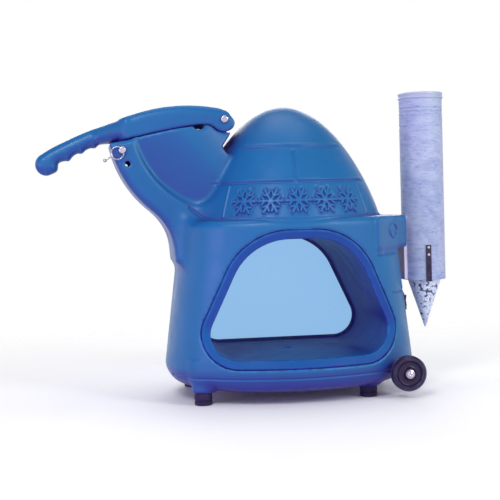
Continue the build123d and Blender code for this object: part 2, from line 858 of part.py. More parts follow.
# ---------------------------------------------------------------- cup dispenser
saddle_low_z = tube_low_z + 2
saddle_high_z = arm_high_z - 3
with BuildPart() as tube_bracket:
    with BuildSketch(end_on(arm_end_x)):
        with Locations((0, (saddle_low_z + saddle_high_z) / 2)):
            RectangleRounded(68, saddle_high_z - saddle_low_z, 4)
    extrude(amount=4)
    with BuildSketch(end_on(arm_end_x)):
        with Locations((0, (saddle_low_z + saddle_high_z) / 2)):
            Rectangle(40, saddle_high_z - saddle_low_z)
    extrude(amount=12)
    with BuildSketch(Plane(origin=(tube_x, 0, 0))):
        Circle(tube_radius)
    extrude(amount=700, mode=Mode.SUBTRACT)

with BuildPart() as bracket_screws:
    with BuildSketch(end_on(arm_end_x + 4)):
        with Locations(*[(y, z) for y in (-28, 28) for z in (288, 328, 364)]):
            Circle(3.6)
    extrude(amount=2)

with BuildPart() as cup_tube:
    with BuildSketch(Plane(origin=(tube_x, 0, tube_low_z))):
        Circle(tube_radius)
        Circle(tube_radius - tube_wall, mode=Mode.SUBTRACT)
    extrude(amount=tube_high_z - tube_low_z)

with BuildPart() as tube_lid:
    with BuildSketch(Plane(origin=(tube_x, 0, tube_high_z - 9))):
        Circle(tube_radius + 2.2)
        Circle(tube_radius + 0.1, mode=Mode.SUBTRACT)
    extrude(amount=9.5)
    with BuildSketch(Plane(origin=(tube_x, 0, tube_high_z + 0.5))):
        Circle(tube_radius + 2.2)
    extrude(amount=4)
    fillet(tube_lid.faces().sort_by(Axis.Z)[-1].edges(), 3)

with BuildPart() as cup_retainer:
    with BuildSketch(Plane(origin=(tube_x - 3, -tube_radius - 0.9, tube_low_z - 3))):
        Rectangle(12, 1.6)
    extrude(amount=80)
    with BuildSketch(Plane(origin=(tube_x - 3, -tube_radius + 1.2, tube_low_z - 3))):
        Rectangle(12, 5)
    extrude(amount=2)

with BuildPart() as retainer_screws:
    with BuildSketch(across(-tube_radius - 1.7)):
        with Locations((tube_x - 3, 290), (tube_x - 3, 306)):
            Circle(2.8)
    extrude(amount=1.8)


def make_cup(tip_z):
    """One thin paper cone, open at the top, standing on its tip."""
    slope = cup_rim_radius / cup_height
    with BuildSketch(Plane(origin=(tube_x, 0, tip_z), x_dir=(1, 0, 0), z_dir=(0, -1, 0))) as section:
        with BuildLine():
            Polyline(
                (0, 0), (cup_rim_radius, cup_height), (cup_rim_radius - paper * 1.06, cup_height),
                (0, paper * 1.06 / slope), close=True,
            )
        make_face()
    with BuildPart() as cup:
        revolve(section.sketch, axis=Axis((tube_x, 0, 0), (0, 0, 1)))
    return cup.part


with BuildPart() as bottom_cup:
    add(make_cup(cup_tip_z))

with BuildPart() as cup_stack:
    for number in range(1, cup_count + 1):
        add(make_cup(cup_tip_z + number * cup_pitch))

# ---------------------------------------------------------------- large mouldings cut into simple lengths
reach = 600.0  # past every face of the machine


def slab(low, high):
    """A block between two opposite corners, used as a cutting zone."""
    with BuildPart() as block:
        with BuildSketch(Plane.XY.offset(low[2])):
            with Locations(((low[0] + high[0]) / 2, (low[1] + high[1]) / 2)):
                Rectangle(high[0] - low[0], high[1] - low[1])
        extrude(amount=high[2] - low[2])
    return block.part


def length_of(whole, zone):
    """The stretch of a moulding that lies inside a zone."""
    with BuildPart() as stretch:
        add(whole.part)
        add(zone, mode=Mode.INTERSECT)
    return stretch


def rest_of(whole, *zones):
    """What the zones leave of a moulding."""
    with BuildPart() as remainder:
        add(whole.part)
        for zone in zones:
            add(zone, mode=Mode.SUBTRACT)
    return remainder


shoulder_z = deck_z - wall - 2  # the top plate is cut off here
arm_root_x = 322.0
arm_zone = slab((arm_root_x, -reach, arm_low_z - 9), (reach, reach, reach))
top_zone = slab((-reach, -reach, shoulder_z), (arm_root_x, reach, reach))
cabinet_top = length_of(cabinet_shell, top_zone)
dispenser_arm = length_of(cabinet_shell, arm_zone)
cabinet_walls = rest_of(cabinet_shell, top_zone, arm_zone)

floor_line = 105.0
roof_line = 285.0
bin_floor = length_of(bin_liner, slab((-reach, -reach, 0), (reach, reach, floor_line)))
bin_roof = length_of(bin_liner, slab((-reach, -reach, roof_line), (reach, reach, reach)))
bin_left = length_of(bin_liner, slab((-reach, -reach, floor_line), (centre_x, reach, roof_line)))
bin_right = length_of(bin_liner, slab((centre_x, -reach, floor_line), (reach, reach, roof_line)))

cheek_depth = 20.0
cheek_start = panel_half_width + 8
cheek_zones = []
for outer_y in (cheek_depth - cheek_start, cheek_start):
    with BuildPart() as cheek_zone:
        with BuildSketch(across(outer_y)):
            with Locations((pivot_x, pivot_z)):
                Circle(band_inner)
        extrude(amount=cheek_depth)
    cheek_zones.append(cheek_zone.part)
front_cheek, back_cheek = (length_of(hopper_neck, zone) for zone in cheek_zones)
neck_band = rest_of(hopper_neck, *cheek_zones)

pieces = {
    "cabinet_shell": cabinet_walls,
    "cabinet_top": cabinet_top,
    "dispenser_arm": dispenser_arm,
    "bin_floor": bin_floor,
    "bin_left": bin_left,
    "bin_right": bin_right,
    "bin_roof": bin_roof,
    "back_window": back_window,
    "window_gasket": window_gasket,
    "window_clips": window_clips,
    "hopper_neck": neck_band,
    "front_cheek": front_cheek,
    "back_cheek": back_cheek,
    "dome_cover": dome_cover,
    "dome_ring": dome_ring,
    "dome_screws": dome_screws,
    "deck_plate": deck_plate,
    "motor": motor,
    "motor_saddle": motor_saddle,
    "motor_bolts": motor_bolts,
    "cutter_housing": cutter_housing,
    "shaft_bush": shaft_bush,
    "drive_shaft": drive_shaft,
    "cutter_disc": cutter_disc,
    "shaving_blades": shaving_blades,
    "blade_screws": blade_screws,
    "disc_nut": disc_nut,
    "ice_chute": ice_chute,
    "lever_arm": lever_arm,
    "ice_pusher": ice_pusher,
    "pusher_screws": pusher_screws,
    "pivot_bolt": pivot_bolt,
    "pivot_nut": pivot_nut,
    "lock_pin": lock_pin,
    "pin_ring": pin_ring,
    "pin_toggle": pin_toggle,
    "rubber_feet": rubber_feet,
    "foot_screws": foot_screws,
    "wheel_axle": wheel_axle,
    "axle_caps": axle_caps,
    "front_wheel": front_wheel,
    "back_wheel": back_wheel,
    "drain_spout": drain_spout,
    "switch_bezel": switch_bezel,
    "rocker_switch": rocker_switch,
    "power_inlet": power_inlet,
    "inlet_screws": inlet_screws,
    "tube_bracket": tube_bracket,
    "bracket_screws": bracket_screws,
    "cup_tube": cup_tube,
    "tube_lid": tube_lid,
    "cup_retainer": cup_retainer,
    "retainer_screws": retainer_screws,
    "bottom_cup": bottom_cup,
    "cup_stack": cup_stack,
}
for name, piece in pieces.items():
    write(piece, name)
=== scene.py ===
"""Looks of a countertop shaved ice machine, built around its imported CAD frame.

Metres, in the frame's own axes: +X to the wheels and the cup dispenser, -Y to the operator, +Z up.
The mouldings are distance fields on a grid, joined with fillets and meshed; turned pieces are lathed.
"""

import json
import math

import bmesh
import bpy
import numpy as np
from mathutils import Matrix, Vector


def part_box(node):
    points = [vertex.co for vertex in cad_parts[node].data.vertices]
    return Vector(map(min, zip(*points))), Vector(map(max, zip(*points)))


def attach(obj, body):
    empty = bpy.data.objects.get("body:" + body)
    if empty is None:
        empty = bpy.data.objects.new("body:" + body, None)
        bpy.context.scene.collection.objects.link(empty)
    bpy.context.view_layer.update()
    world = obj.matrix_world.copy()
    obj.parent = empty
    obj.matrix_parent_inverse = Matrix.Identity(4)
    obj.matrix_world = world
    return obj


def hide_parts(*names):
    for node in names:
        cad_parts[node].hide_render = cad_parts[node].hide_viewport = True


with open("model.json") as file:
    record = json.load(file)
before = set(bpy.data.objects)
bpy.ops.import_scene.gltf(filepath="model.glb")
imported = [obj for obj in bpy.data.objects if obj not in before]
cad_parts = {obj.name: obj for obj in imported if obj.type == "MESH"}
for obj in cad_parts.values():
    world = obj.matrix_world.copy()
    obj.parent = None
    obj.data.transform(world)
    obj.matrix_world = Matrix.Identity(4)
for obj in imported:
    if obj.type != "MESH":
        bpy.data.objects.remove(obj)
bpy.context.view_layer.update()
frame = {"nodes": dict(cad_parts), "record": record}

mm = 0.001

# ---------------------------------------------------------------- places and sizes taken from the frame
shell_low, shell_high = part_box("cabinet_shell")
arm_low, arm_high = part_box("dispenser_arm")
dome_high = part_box("dome_cover")[1]
bolt_low, bolt_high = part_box("pivot_bolt")
pin_low, pin_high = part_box("lock_pin")
feet_low, feet_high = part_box("rubber_feet")
bin_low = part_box("bin_floor")[0]
bin_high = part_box("bin_roof")[1]
disc_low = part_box("cutter_disc")[0]

centre_x = (shell_low.x + shell_high.x) / 2
deck_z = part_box("cabinet_top")[1].z
floor_z = shell_low.z
belly_z = 75 * mm
belly_half_width = (shell_high.x - shell_low.x) / 2
top_half_width = 225 * mm
belly_half_depth = shell_high.y
top_half_depth = 210 * mm
front_bow = 105 * mm
dome_radius = dome_high.x - centre_x
dome_height = dome_high.z - deck_z
crown_power, foot_power = 2.0, 1.15
pivot = ((bolt_low.x + bolt_high.x) / 2, (bolt_low.z + bolt_high.z) / 2)
pin = ((pin_low.x + pin_high.x) / 2, (pin_low.z + pin_high.z) / 2)
band_outer = 246 * mm
band_inner = 190 * mm
band_half_width = 85 * mm
band_top_angle = 190.6
chamber_half_width = 66 * mm
hood_half_width = 78.5 * mm
grip_half_width = 22 * mm
opening_low = bin_low.z - 0.3 * mm
opening_high = bin_high.z + 0.3 * mm
opening_bottom_half_width, opening_top_half_width = 243 * mm, 115 * mm
opening_bottom_radius, opening_top_radius = 70 * mm, 140 * mm
ring_width = 18 * mm
liner_wall = 5 * mm
wall = 6 * mm
foot_radius = 18.5 * mm
axle_hole_radius = 6.1 * mm


# ---------------------------------------------------------------- outlines in the side view
def polar(radius, angle):
    """A point of the side view at a distance and an angle, in degrees, from the lever's pivot."""
    turn = math.radians(angle)
    return (pivot[0] + radius * math.cos(turn), pivot[1] + radius * math.sin(turn))


def sector(radius, start, end, steps=16):
    """Points of an arc about the lever's pivot."""
    return [polar(radius, start + (end - start) * step / steps) for step in range(steps + 1)]


def arc(first, middle, last, steps=16):
    """Points of the arc through three points."""
    (ax, ay), (bx, by), (cx, cy) = first, middle, last
    scale = 2 * (ax * (by - cy) + bx * (cy - ay) + cx * (ay - by))
    a2, b2, c2 = ax * ax + ay * ay, bx * bx + by * by, cx * cx + cy * cy
    ox = (a2 * (by - cy) + b2 * (cy - ay) + c2 * (ay - by)) / scale
    oy = (a2 * (cx - bx) + b2 * (ax - cx) + c2 * (bx - ax)) / scale
    radius = math.hypot(ax - ox, ay - oy)
    angles = [math.atan2(y - oy, x - ox) for x, y in (first, middle, last)]
    forward = (angles[1] - angles[0]) % (2 * math.pi) < (angles[2] - angles[0]) % (2 * math.pi)
    sweep = (angles[2] - angles[0]) % (2 * math.pi)
    if not forward:
        sweep -= 2 * math.pi
    turns = [angles[0] + sweep * step / steps for step in range(steps + 1)]
    return [(ox + radius * math.cos(turn), oy + radius * math.sin(turn)) for turn in turns]


def flowing(points, steps=6):
    """A smooth open curve through the points."""
    knots = [np.array(p, float) for p in (points[0], *points, points[-1])]
    curve = []
    for a, b, c, d in zip(knots, knots[1:], knots[2:], knots[3:]):
        for step in range(steps):
            t = step / steps
            square = 2 * a - 5 * b + 4 * c - d
            cube = 3 * b - a - 3 * c + d
            curve.append(0.5 * (2 * b + (c - a) * t + square * t * t + cube * t**3))
    curve.append(knots[-1])
    return [tuple(p) for p in curve]


def rounded(corners, radii, steps=12):
    """A closed outline with each corner turned into an arc of its own radius."""
    points = []
    corners = [np.array(c, float) for c in corners]
    for place, radius in enumerate(radii):
        corner = corners[place]
        before = corners[place - 1] - corner
        after = corners[(place + 1) % len(corners)] - corner
        before /= np.linalg.norm(before)
        after /= np.linalg.norm(after)
        half = math.acos(before @ after) / 2
        middle = (before + after) / np.linalg.norm(before + after)
        centre = corner + middle * radius / math.sin(half)
        start = corner + before * radius / math.tan(half) - centre
        end = corner + after * radius / math.tan(half) - centre
        first = math.atan2(start[1], start[0])
        sweep = (math.atan2(end[1], end[0]) - first + math.pi) % (2 * math.pi) - math.pi
        for step in range(steps + 1):
            turn = first + sweep * step / steps
            points.append((centre[0] + radius * math.cos(turn), centre[1] + radius * math.sin(turn)))
    return points


def scaled(points):
    """Points given in millimetres."""
    return [(x * mm, z * mm) for x, z in points]


def inset(radius, level, steps):
    """Profile points of a turned piece: millimetres inwards from a radius, and up from a level."""
    return [(radius - inwards * mm, level + up * mm) for inwards, up in steps]


# ---------------------------------------------------------------- distance fields
class Grid:
    """Sample points over a box; x, y and z broadcast against each other."""

    def __init__(self, low, high, cell):
        self.cell = cell
        self.low = np.array(low, float) - 2 * cell
        counts = np.ceil((np.array(high, float) + 2 * cell - self.low) / cell).astype(int) + 1
        spans = [(self.low[axis] + cell * np.arange(counts[axis])).astype(np.float32) for axis in range(3)]
        self.x, self.y, self.z = np.meshgrid(*spans, indexing="ij", sparse=True)


class Points:
    """Scattered points with the same x, y and z as a grid has."""

    def __init__(self, places):
        self.x, self.y, self.z = places[:, 0], places[:, 1], places[:, 2]


def join(a, b, fillet):
    """Both forms, with a hollow fillet where they meet."""
    near = np.maximum(fillet - np.abs(a - b), 0) / fillet
    return np.minimum(a, b) - near * near * fillet / 4


def meet(a, b, fillet):
    """What two forms share, with a rounded edge."""
    return -join(-a, -b, fillet)


def cut(a, b, fillet):
    """The first form without the second, with a rounded edge."""
    return meet(a, -b, fillet)


def outline(u, v, points):
    """Distance from (u, v) to a closed outline, negative inside it."""
    nearest = np.full(np.broadcast(u, v).shape, 1e9, np.float32)
    inside = np.zeros(nearest.shape, bool)
    for (ax, ay), (bx, by) in zip(points, points[1:] + points[:1]):
        ex, ey = bx - ax, by - ay
        span = ex * ex + ey * ey
        if span < 1e-14:
            continue
        t = np.clip(((u - ax) * ex + (v - ay) * ey) / span, 0, 1)
        nearest = np.minimum(nearest, (u - ax - ex * t) ** 2 + (v - ay - ey * t) ** 2)
        if ay != by:
            inside ^= ((ay > v) != (by > v)) & (u < ex * (v - ay) / ey + ax)
    return np.where(inside, -1, 1) * np.sqrt(nearest)


def block(g, low, high, round_by):
    """A box with rounded edges."""
    parts = [
        np.abs(c - (a + b) / 2) - (b - a) / 2 + round_by for c, a, b in zip((g.x, g.y, g.z), low, high)
    ]
    outside = np.sqrt(sum(np.maximum(p, 0) ** 2 for p in parts))
    return outside + np.minimum(np.maximum(np.maximum(parts[0], parts[1]), parts[2]), 0) - round_by


def post(g, x, y, radius, low, high, round_by):
    """An upright cylinder."""
    side = np.sqrt((g.x - x) ** 2 + (g.y - y) ** 2) - radius
    return meet(side, np.maximum(low - g.z, g.z - high), round_by)


# ---------------------------------------------------------------- forms of the mouldings
def base_form(g):
    """Barrel-shaped base: straight sides, bowed front and back, tucked in at the bottom."""
    run = np.abs(g.x - centre_x)
    below = np.clip((belly_z - g.z) / (belly_z - floor_z), 0, 1.4)
    above = (g.z - belly_z) / (deck_z - belly_z)
    above = np.maximum(above, 0)
    tuck = 36 * mm * below**2.2
    tuck_slope = 36 * mm * 2.2 * below**1.2 / (belly_z - floor_z)
    half_width = belly_half_width - (belly_half_width - top_half_width) * above - tuck
    half_depth = belly_half_depth - (belly_half_depth - top_half_depth) * above - 0.6 * tuck
    bow_slope = 2 * front_bow * run / belly_half_width**2
    side = (run - half_width) / np.sqrt(1.02 + tuck_slope**2)
    face = np.abs(g.y) - half_depth + front_bow * (run / belly_half_width) ** 2
    face = face / np.sqrt(1 + bow_slope**2 + (0.6 * tuck_slope) ** 2)
    walls = meet(side, face, 78 * mm)
    return meet(walls, np.maximum(g.z - deck_z, floor_z - g.z), 16 * mm)


def dome_form(g):
    """Igloo dome: rounder at its crown than at its foot, turned about the upright axis."""
    reach = np.sqrt((g.x - centre_x) ** 2 + g.y**2) / dome_radius
    rise = np.maximum((g.z - deck_z) / dome_height, 0) + 1e-4
    across = crown_power * reach ** (crown_power - 1) / dome_radius
    upward = foot_power * rise ** (foot_power - 1) / dome_height
    crown = (reach**crown_power + rise**foot_power - 1) / np.maximum(np.hypot(across, upward), 4)
    return np.maximum(crown, deck_z - 30 * mm - g.z)


def neck_form(g):
    """The curved band that carries the lock pin and flows into the base."""
    outside = sector(band_outer, band_top_angle, 231)
    flare = arc(outside[-1], (-170 * mm, 352 * mm), (-160 * mm, 312 * mm))[1:]
    inside = sector(band_inner, 262, band_top_angle)
    foot = scaled([(-60, 300), (-60, 386)])
    shape = outline(g.x, g.z, outside + flare + scaled([(-158, 300)]) + foot + inside)
    return meet(shape, np.abs(g.y) - band_half_width, 15 * mm)


def cheek_half_width(g):
    """How far the ice chamber's bulging sides stand out; fullest on a slanting ridge."""
    ridge = ((g.x + 150 * mm) * -0.757 + (g.z - 572 * mm) * -0.655) / (105 * mm)
    left = 19 * mm * np.clip(ridge, 0, 1.1) ** 1.5
    right = 13 * mm * np.clip(-ridge * 1.6, 0, 1.3) ** 1.8
    return 90 * mm - left - right


def cheek_form(g):
    """The ice chamber: a quarter disc about the pivot, with ears for the pivot bolt."""
    curve = sector(band_inner + 5 * mm, 191.5, 274)
    brim = [
        (-30, 500), (-57, 533), (-34, 565), (-52, 563.5), (-65, 567.5), (-74, 575), (-82, 580),
        (-90, 580), (-97, 572), (-110, 571), (-117, 578), (-152, 573.5), (-190, 567), (-234, 558),
    ]
    shape = outline(g.x, g.z, curve + scaled(brim))
    chamber = meet(shape, (np.abs(g.y) - cheek_half_width(g)) / 1.03, 3 * mm)
    ear = outline(g.x, g.z, scaled([(-88, 556), (-62.5, 594), (-40, 594), (-50.5, 540), (-80, 540)]))
    knuckle = np.sqrt((g.x - pivot[0]) ** 2 + (g.z - pivot[1]) ** 2) - 15 * mm
    ear = meet(join(ear, knuckle, 6 * mm), np.abs(g.y) - 72 * mm, 2 * mm)
    return join(chamber, ear, 2 * mm)


def arm_side(g):
    """Distance to the upright slanting plane that cuts the right corners and runs on as the arm's side."""
    root_x, root_y = 258 * mm, 168 * mm
    reach = math.hypot(arm_high.x - root_x, root_y - arm_high.y)
    across, ahead = (root_y - arm_high.y) / reach, (arm_high.x - root_x) / reach
    return (g.x - root_x) * across + (np.abs(g.y) - root_y) * ahead


def arm_form(g):
    """The dispenser arm: a tapering block that runs out of the base's right shoulder."""
    ends = np.maximum(250 * mm - g.x, g.x - arm_high.x)
    flat = np.maximum(arm_low.z - g.z, g.z - arm_high.z)
    return meet(meet(arm_side(g), flat, 10 * mm), ends, 5 * mm)


def opening_outline():
    """The serving opening seen from the front."""
    corners = [
        (centre_x - opening_bottom_half_width, opening_low),
        (centre_x + opening_bottom_half_width, opening_low),
        (centre_x + opening_top_half_width, opening_high),
        (centre_x - opening_top_half_width, opening_high),
    ]
    radii = (opening_bottom_radius, opening_bottom_radius, opening_top_radius, opening_top_radius)
    return rounded(corners, radii)


def chamber_hollow(g):
    """Room for ice cubes inside the chamber, for the pusher's swing, and the round way to the cutter."""
    curve = sector(band_inner, band_top_angle - 6, 264)
    end_x, cutter_z = -49 * mm, 466 * mm
    corner = [(end_x, 404 * mm), (end_x, 640 * mm), (-200 * mm, 660 * mm)]
    shape = outline(g.x, g.z, curve + corner)
    swing = np.maximum(np.maximum(-60 * mm - g.x, g.x + 30 * mm), 557 * mm - g.z)
    room = np.maximum(np.minimum(shape, swing), np.abs(g.y) - chamber_half_width)
    bore = np.sqrt(g.y**2 + (g.z - cutter_z) ** 2) - chamber_half_width
    bore = np.maximum(bore, np.maximum(end_x - 3 * mm - g.x, g.x - disc_low.x - 8 * mm))
    return np.minimum(room, bore)


def body_field(g):
    """The one-piece moulded cabinet: base, dome, neck, chamber and dispenser arm."""
    shoulder = np.maximum(-arm_side(g), 301 * mm - g.z)
    body = join(cut(base_form(g), shoulder, 2 * mm), dome_form(g), 8 * mm)
    body = join(body, neck_form(g), 34 * mm)
    chamber = cheek_form(g)
    body = join(body, chamber, 8 * mm)
    body = join(body, arm_form(g), 5 * mm)
    for x in (feet_low.x + foot_radius, feet_high.x - foot_radius):
        for y in (feet_low.y + foot_radius, feet_high.y - foot_radius):
            body = join(body, post(g, x, y, 23 * mm, floor_z, 90 * mm, 4 * mm), 14 * mm)
    wheel_x, wheel_z = 305 * mm, 53 * mm
    boss = np.sqrt((g.x - wheel_x) ** 2 + (g.z - wheel_z) ** 2) - 16 * mm
    body = join(body, meet(boss, np.abs(g.y) - 172 * mm, 5 * mm), 14 * mm)
    room = np.maximum(body + wall, -(chamber + 0.5 * mm))
    bulkhead = np.minimum(np.minimum(-41 * mm - g.x, g.x + 130 * mm), g.z - 505 * mm)
    room = np.maximum(room, bulkhead)
    body = np.maximum(body, -room)
    body = cut(body, outline(g.x, g.z, opening_outline()), 4 * mm)
    body = cut(body, chamber_hollow(g), 3 * mm)
    spare = polar(math.hypot(pin[0] - pivot[0], pin[1] - pivot[1]), 203.4)
    body = cut(body, np.sqrt((g.x - spare[0]) ** 2 + (g.z - spare[1]) ** 2) - 5.5 * mm, 1.5 * mm)
    slot = outline(g.x, g.z, sector(band_outer - wall, 184, 199) + sector(band_inner + wall, 199, 184))
    return cut(body, np.maximum(slot, np.abs(g.y) - 24 * mm), 2 * mm)


def lever_field(g):
    """The lever: a hood over the ice chamber, a tapering wrist and a grip with finger scallops."""
    crown = arc(*scaled([(-268, 598), (-168, 623), (-57, 617.2)]))
    knuckle = flowing([crown[-1]] + scaled([
        (-45, 613.5), (-32, 605), (-26, 591), (-29, 577), (-39, 568), (-52, 566), (-64, 569.5), (-74, 577),
        (-84, 581), (-104, 581.5),
    ]))
    belly = arc(knuckle[-1], *scaled([(-190, 567.5), (-268, 553.2)]))
    hood = outline(g.x, g.z, crown + knuckle[1:] + belly[1:])
    top = flowing(scaled([(-250, 600), (-300, 588), (-343, 574), (-404, 547), (-434, 530)]))
    end = arc(top[-1], *scaled([(-447.4, 505), (-421, 485)]))
    fingers = flowing(scaled([
        (-421, 485), (-402, 494), (-398, 510), (-386, 515), (-376, 515), (-368, 524), (-358, 530),
        (-348, 530), (-340, 537), (-330, 541), (-320, 541), (-311, 548), (-296, 550), (-270, 553),
        (-250, 556),
    ]))
    grip = outline(g.x, g.z, top + end[1:] + fingers[1:])
    under_crown = scaled([(-44, 612), (-28, 600), (0, 560), (0, 460), (-268, 460)])
    cap = outline(g.x, g.z, crown + under_crown)
    wrist_x, taper = -330 * mm, 78 * mm
    along = np.clip((g.x - wrist_x) / taper, 0, 1)
    spread = hood_half_width - grip_half_width
    half_width = grip_half_width + spread * along * along * (3 - 2 * along)
    slope = spread * 6 * along * (1 - along) / taper
    side = (np.abs(g.y) - half_width) / np.sqrt(1 + slope**2)
    hood = meet(meet(cap, side, 20 * mm), hood, 4 * mm)
    lever = join(hood, meet(grip, side, 20 * mm), 8 * mm)
    inner = arc(*scaled([(-240, 596), (-168, 615), (-57, 609)]))
    hollow = outline(g.x, g.z, inner + scaled([(0, 599), (0, 500), (-240, 500)]))
    hollow = meet(hollow, np.abs(g.y) - 72.5 * mm, 14 * mm)
    lever = cut(lever, hollow, 2 * mm)
    boss = block(g, (-95 * mm, -34 * mm, 608.5 * mm), (-57 * mm, 34 * mm, 615 * mm), 2 * mm)
    tongue = outline(g.x, g.z, sector(234 * mm, 187, 198) + sector(204 * mm, 198, 187))
    tongue = np.maximum(tongue, np.abs(g.y) - 20 * mm)
    hole = np.sqrt((g.x - pin[0]) ** 2 + (g.z - pin[1]) ** 2) - 6.1 * mm
    reach = math.hypot(pin[0] - pivot[0], pin[1] - pivot[1])
    angle = math.degrees(math.atan2(pin[1] - pivot[1], pin[0] - pivot[0])) % 360
    notch = sector(reach - 6.1 * mm, angle, angle + 6) + sector(reach + 6.1 * mm, angle + 6, angle)
    tongue = np.maximum(tongue, -np.minimum(hole, outline(g.x, g.z, notch)))
    return join(join(lever, boss, 4 * mm), tongue, 4 * mm)


def bin_field(g):
    """The ice bin: a thin tunnel through the base with a sloping rim at each end."""
    edge = outline(g.x, g.z, opening_outline())
    depth = base_form(g)
    tunnel = np.abs(edge + ring_width - liner_wall / 2) - liner_wall / 2
    tunnel = np.maximum(tunnel, depth + 6 * mm)
    lip = -0.2 * mm + 0.42 * (edge + 2 * mm)
    rim = meet(depth - lip, edge - 0.6 * mm, 6 * mm)
    rim = np.maximum(rim, -(depth + 14 * mm))
    rim = meet(rim, -(edge + ring_width), 7 * mm)
    form = join(tunnel, rim, 3 * mm)
    chute = block(g, (-10 * mm, -38 * mm, 290 * mm), (40 * mm, 38 * mm, 400 * mm), 2 * mm)
    drain = np.sqrt((g.x - centre_x) ** 2 + g.y**2) - 8 * mm
    drain = np.maximum(drain, g.z - 120 * mm)
    return np.maximum(form, -np.minimum(chute, drain))


# ---------------------------------------------------------------- from field to mesh
def net(g, field):
    """Quads over the field's zero level, with one point in each cell that the level crosses."""
    inside = field < 0
    counts = np.zeros([n - 1 for n in field.shape], np.int8)
    for di in (0, 1):
        for dj in (0, 1):
            for dk in (0, 1):
                spans = [slice(d, n - 1 + d) for d, n in zip((di, dj, dk), field.shape)]
                counts += inside[tuple(spans)]
    active = (counts > 0) & (counts < 8)
    cells = np.stack(np.nonzero(active), 1)
    index = np.full(counts.shape, -1, np.int64)
    index[active] = np.arange(len(cells))
    total = np.zeros((len(cells), 3))
    hits = np.zeros((len(cells), 1))
    for axis in range(3):
        for first in (0, 1):
            for second in (0, 1):
                start = np.zeros(3, int)
                start[(axis + 1) % 3] = first
                start[(axis + 2) % 3] = second
                end = start.copy()
                end[axis] = 1
                a = field[tuple((cells + start).T)]
                b = field[tuple((cells + end).T)]
                crossed = (a < 0) != (b < 0)
                t = np.where(crossed, a / np.where(crossed, a - b, 1), 0)
                total += (start + t[:, None] * (end - start)) * crossed[:, None]
                hits += crossed[:, None]
    points = g.low + g.cell * (cells + total / hits)
    quads = []
    for axis in range(3):
        u, v = (axis + 1) % 3, (axis + 2) % 3
        lower, upper = [slice(1, -1)] * 3, [slice(1, -1)] * 3
        lower[axis], upper[axis] = slice(0, -1), slice(1, None)
        a, b = inside[tuple(lower)], inside[tuple(upper)]
        for way, crossed in ((1, a & ~b), (-1, b & ~a)):
            at = np.stack(np.nonzero(crossed), 1)
            at[:, u] += 1
            at[:, v] += 1
            ring = []
            for du, dv in ((0, 0), (1, 0), (1, 1), (0, 1))[::way]:
                cell = at.copy()
                cell[:, u] -= du
                cell[:, v] -= dv
                ring.append(index[tuple(cell.T)])
            quads.append(np.stack(ring, 1))
    return points, np.concatenate(quads)


def sample(g, field, points):
    """The field at scattered points, from the eight grid values around each."""
    place = (points - g.low) / g.cell
    cell = np.clip(np.floor(place).astype(int), 0, np.array(field.shape) - 2)
    part = place - cell
    value = 0
    for di in (0, 1):
        for dj in (0, 1):
            for dk in (0, 1):
                weight = 1
                for axis, d in enumerate((di, dj, dk)):
                    weight = weight * (part[:, axis] if d else 1 - part[:, axis])
                value = value + weight * field[cell[:, 0] + di, cell[:, 1] + dj, cell[:, 2] + dk]
    return value


def settle(g, field, points, quads, rounds):
    """Evens out the points and draws them back onto the zero level."""
    pairs = np.concatenate([quads[:, [a, (a + 1) % 4]] for a in range(4)])
    ends = np.concatenate([pairs, pairs[:, ::-1]])
    degree = np.bincount(ends[:, 0], minlength=len(points))[:, None]
    step = np.eye(3) * g.cell / 2
    for _ in range(rounds):
        sums = [np.bincount(ends[:, 0], points[ends[:, 1], axis], len(points)) for axis in range(3)]
        points = (points + np.stack(sums, 1) / degree) / 2
        slope = [sample(g, field, points + d) - sample(g, field, points - d) for d in step]
        slope = np.stack(slope, 1) / g.cell
        size = np.maximum((slope**2).sum(1, keepdims=True), 0.3)
        move = sample(g, field, points)[:, None] * slope / size
        points = points - np.clip(move, -g.cell / 2, g.cell / 2)
    return points


def new_piece(name, points, faces, body, finish):
    """A mesh piece that rides on a body and is shaded smooth."""
    mesh = bpy.data.meshes.new(name)
    mesh.from_pydata([tuple(p) for p in points], [], [tuple(f) for f in faces])
    mesh.polygons.foreach_set("use_smooth", [True] * len(mesh.polygons))
    piece = bpy.data.objects.new(name, mesh)
    bpy.context.scene.collection.objects.link(piece)
    mesh.materials.append(finish)
    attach(piece, body)
    return piece


def moulding(name, form, low, high, cell, body, finish):
    """A piece made from a distance field."""
    grid = Grid(low, high, cell)
    field = form(grid)
    points, quads = net(grid, field)
    points = settle(grid, field, points, quads, 5)
    return new_piece(name, points.tolist(), quads.tolist(), body, finish)


def lathe(name, profile, centre, axis, body, finish, segments=64, ridges=0, ridge_depth=0.0):
    """A turned piece: the profile is (radius, height) pairs, and heights run along the axis."""
    spin = Vector((0, 0, 1)).rotation_difference(Vector(axis)).to_matrix()
    points, faces = [], []
    for radius, height in profile:
        for step in range(segments):
            turn = 2 * math.pi * step / segments
            reach = radius * (1 - ridge_depth * (0.5 + 0.5 * math.cos(turn * ridges))) if ridges else radius
            place = Vector((reach * math.cos(turn), reach * math.sin(turn), height))
            points.append(Vector(centre) + spin @ place)
    for row in range(len(profile) - 1):
        for step in range(segments):
            after = (step + 1) % segments
            a, b = row * segments, (row + 1) * segments
            faces.append((a + step, a + after, b + after, b + step))
    piece = new_piece(name, points, faces, body, finish)
    work = bmesh.new()
    work.from_mesh(piece.data)
    bmesh.ops.remove_doubles(work, verts=work.verts, dist=1e-6)
    work.faces.ensure_lookup_table()
    bmesh.ops.recalc_face_normals(work, faces=work.faces)
    work.to_mesh(piece.data)
    work.free()
    piece.data.set_sharp_from_angle(angle=math.radians(38))
    return piece


# ---------------------------------------------------------------- fine relief on the cabinet
def bell(distance, width):
    """1 on a line and 0 past its width, smooth between."""
    near = np.clip(1 - np.abs(distance) / width, 0, 1)
    return near * near * (3 - 2 * near)


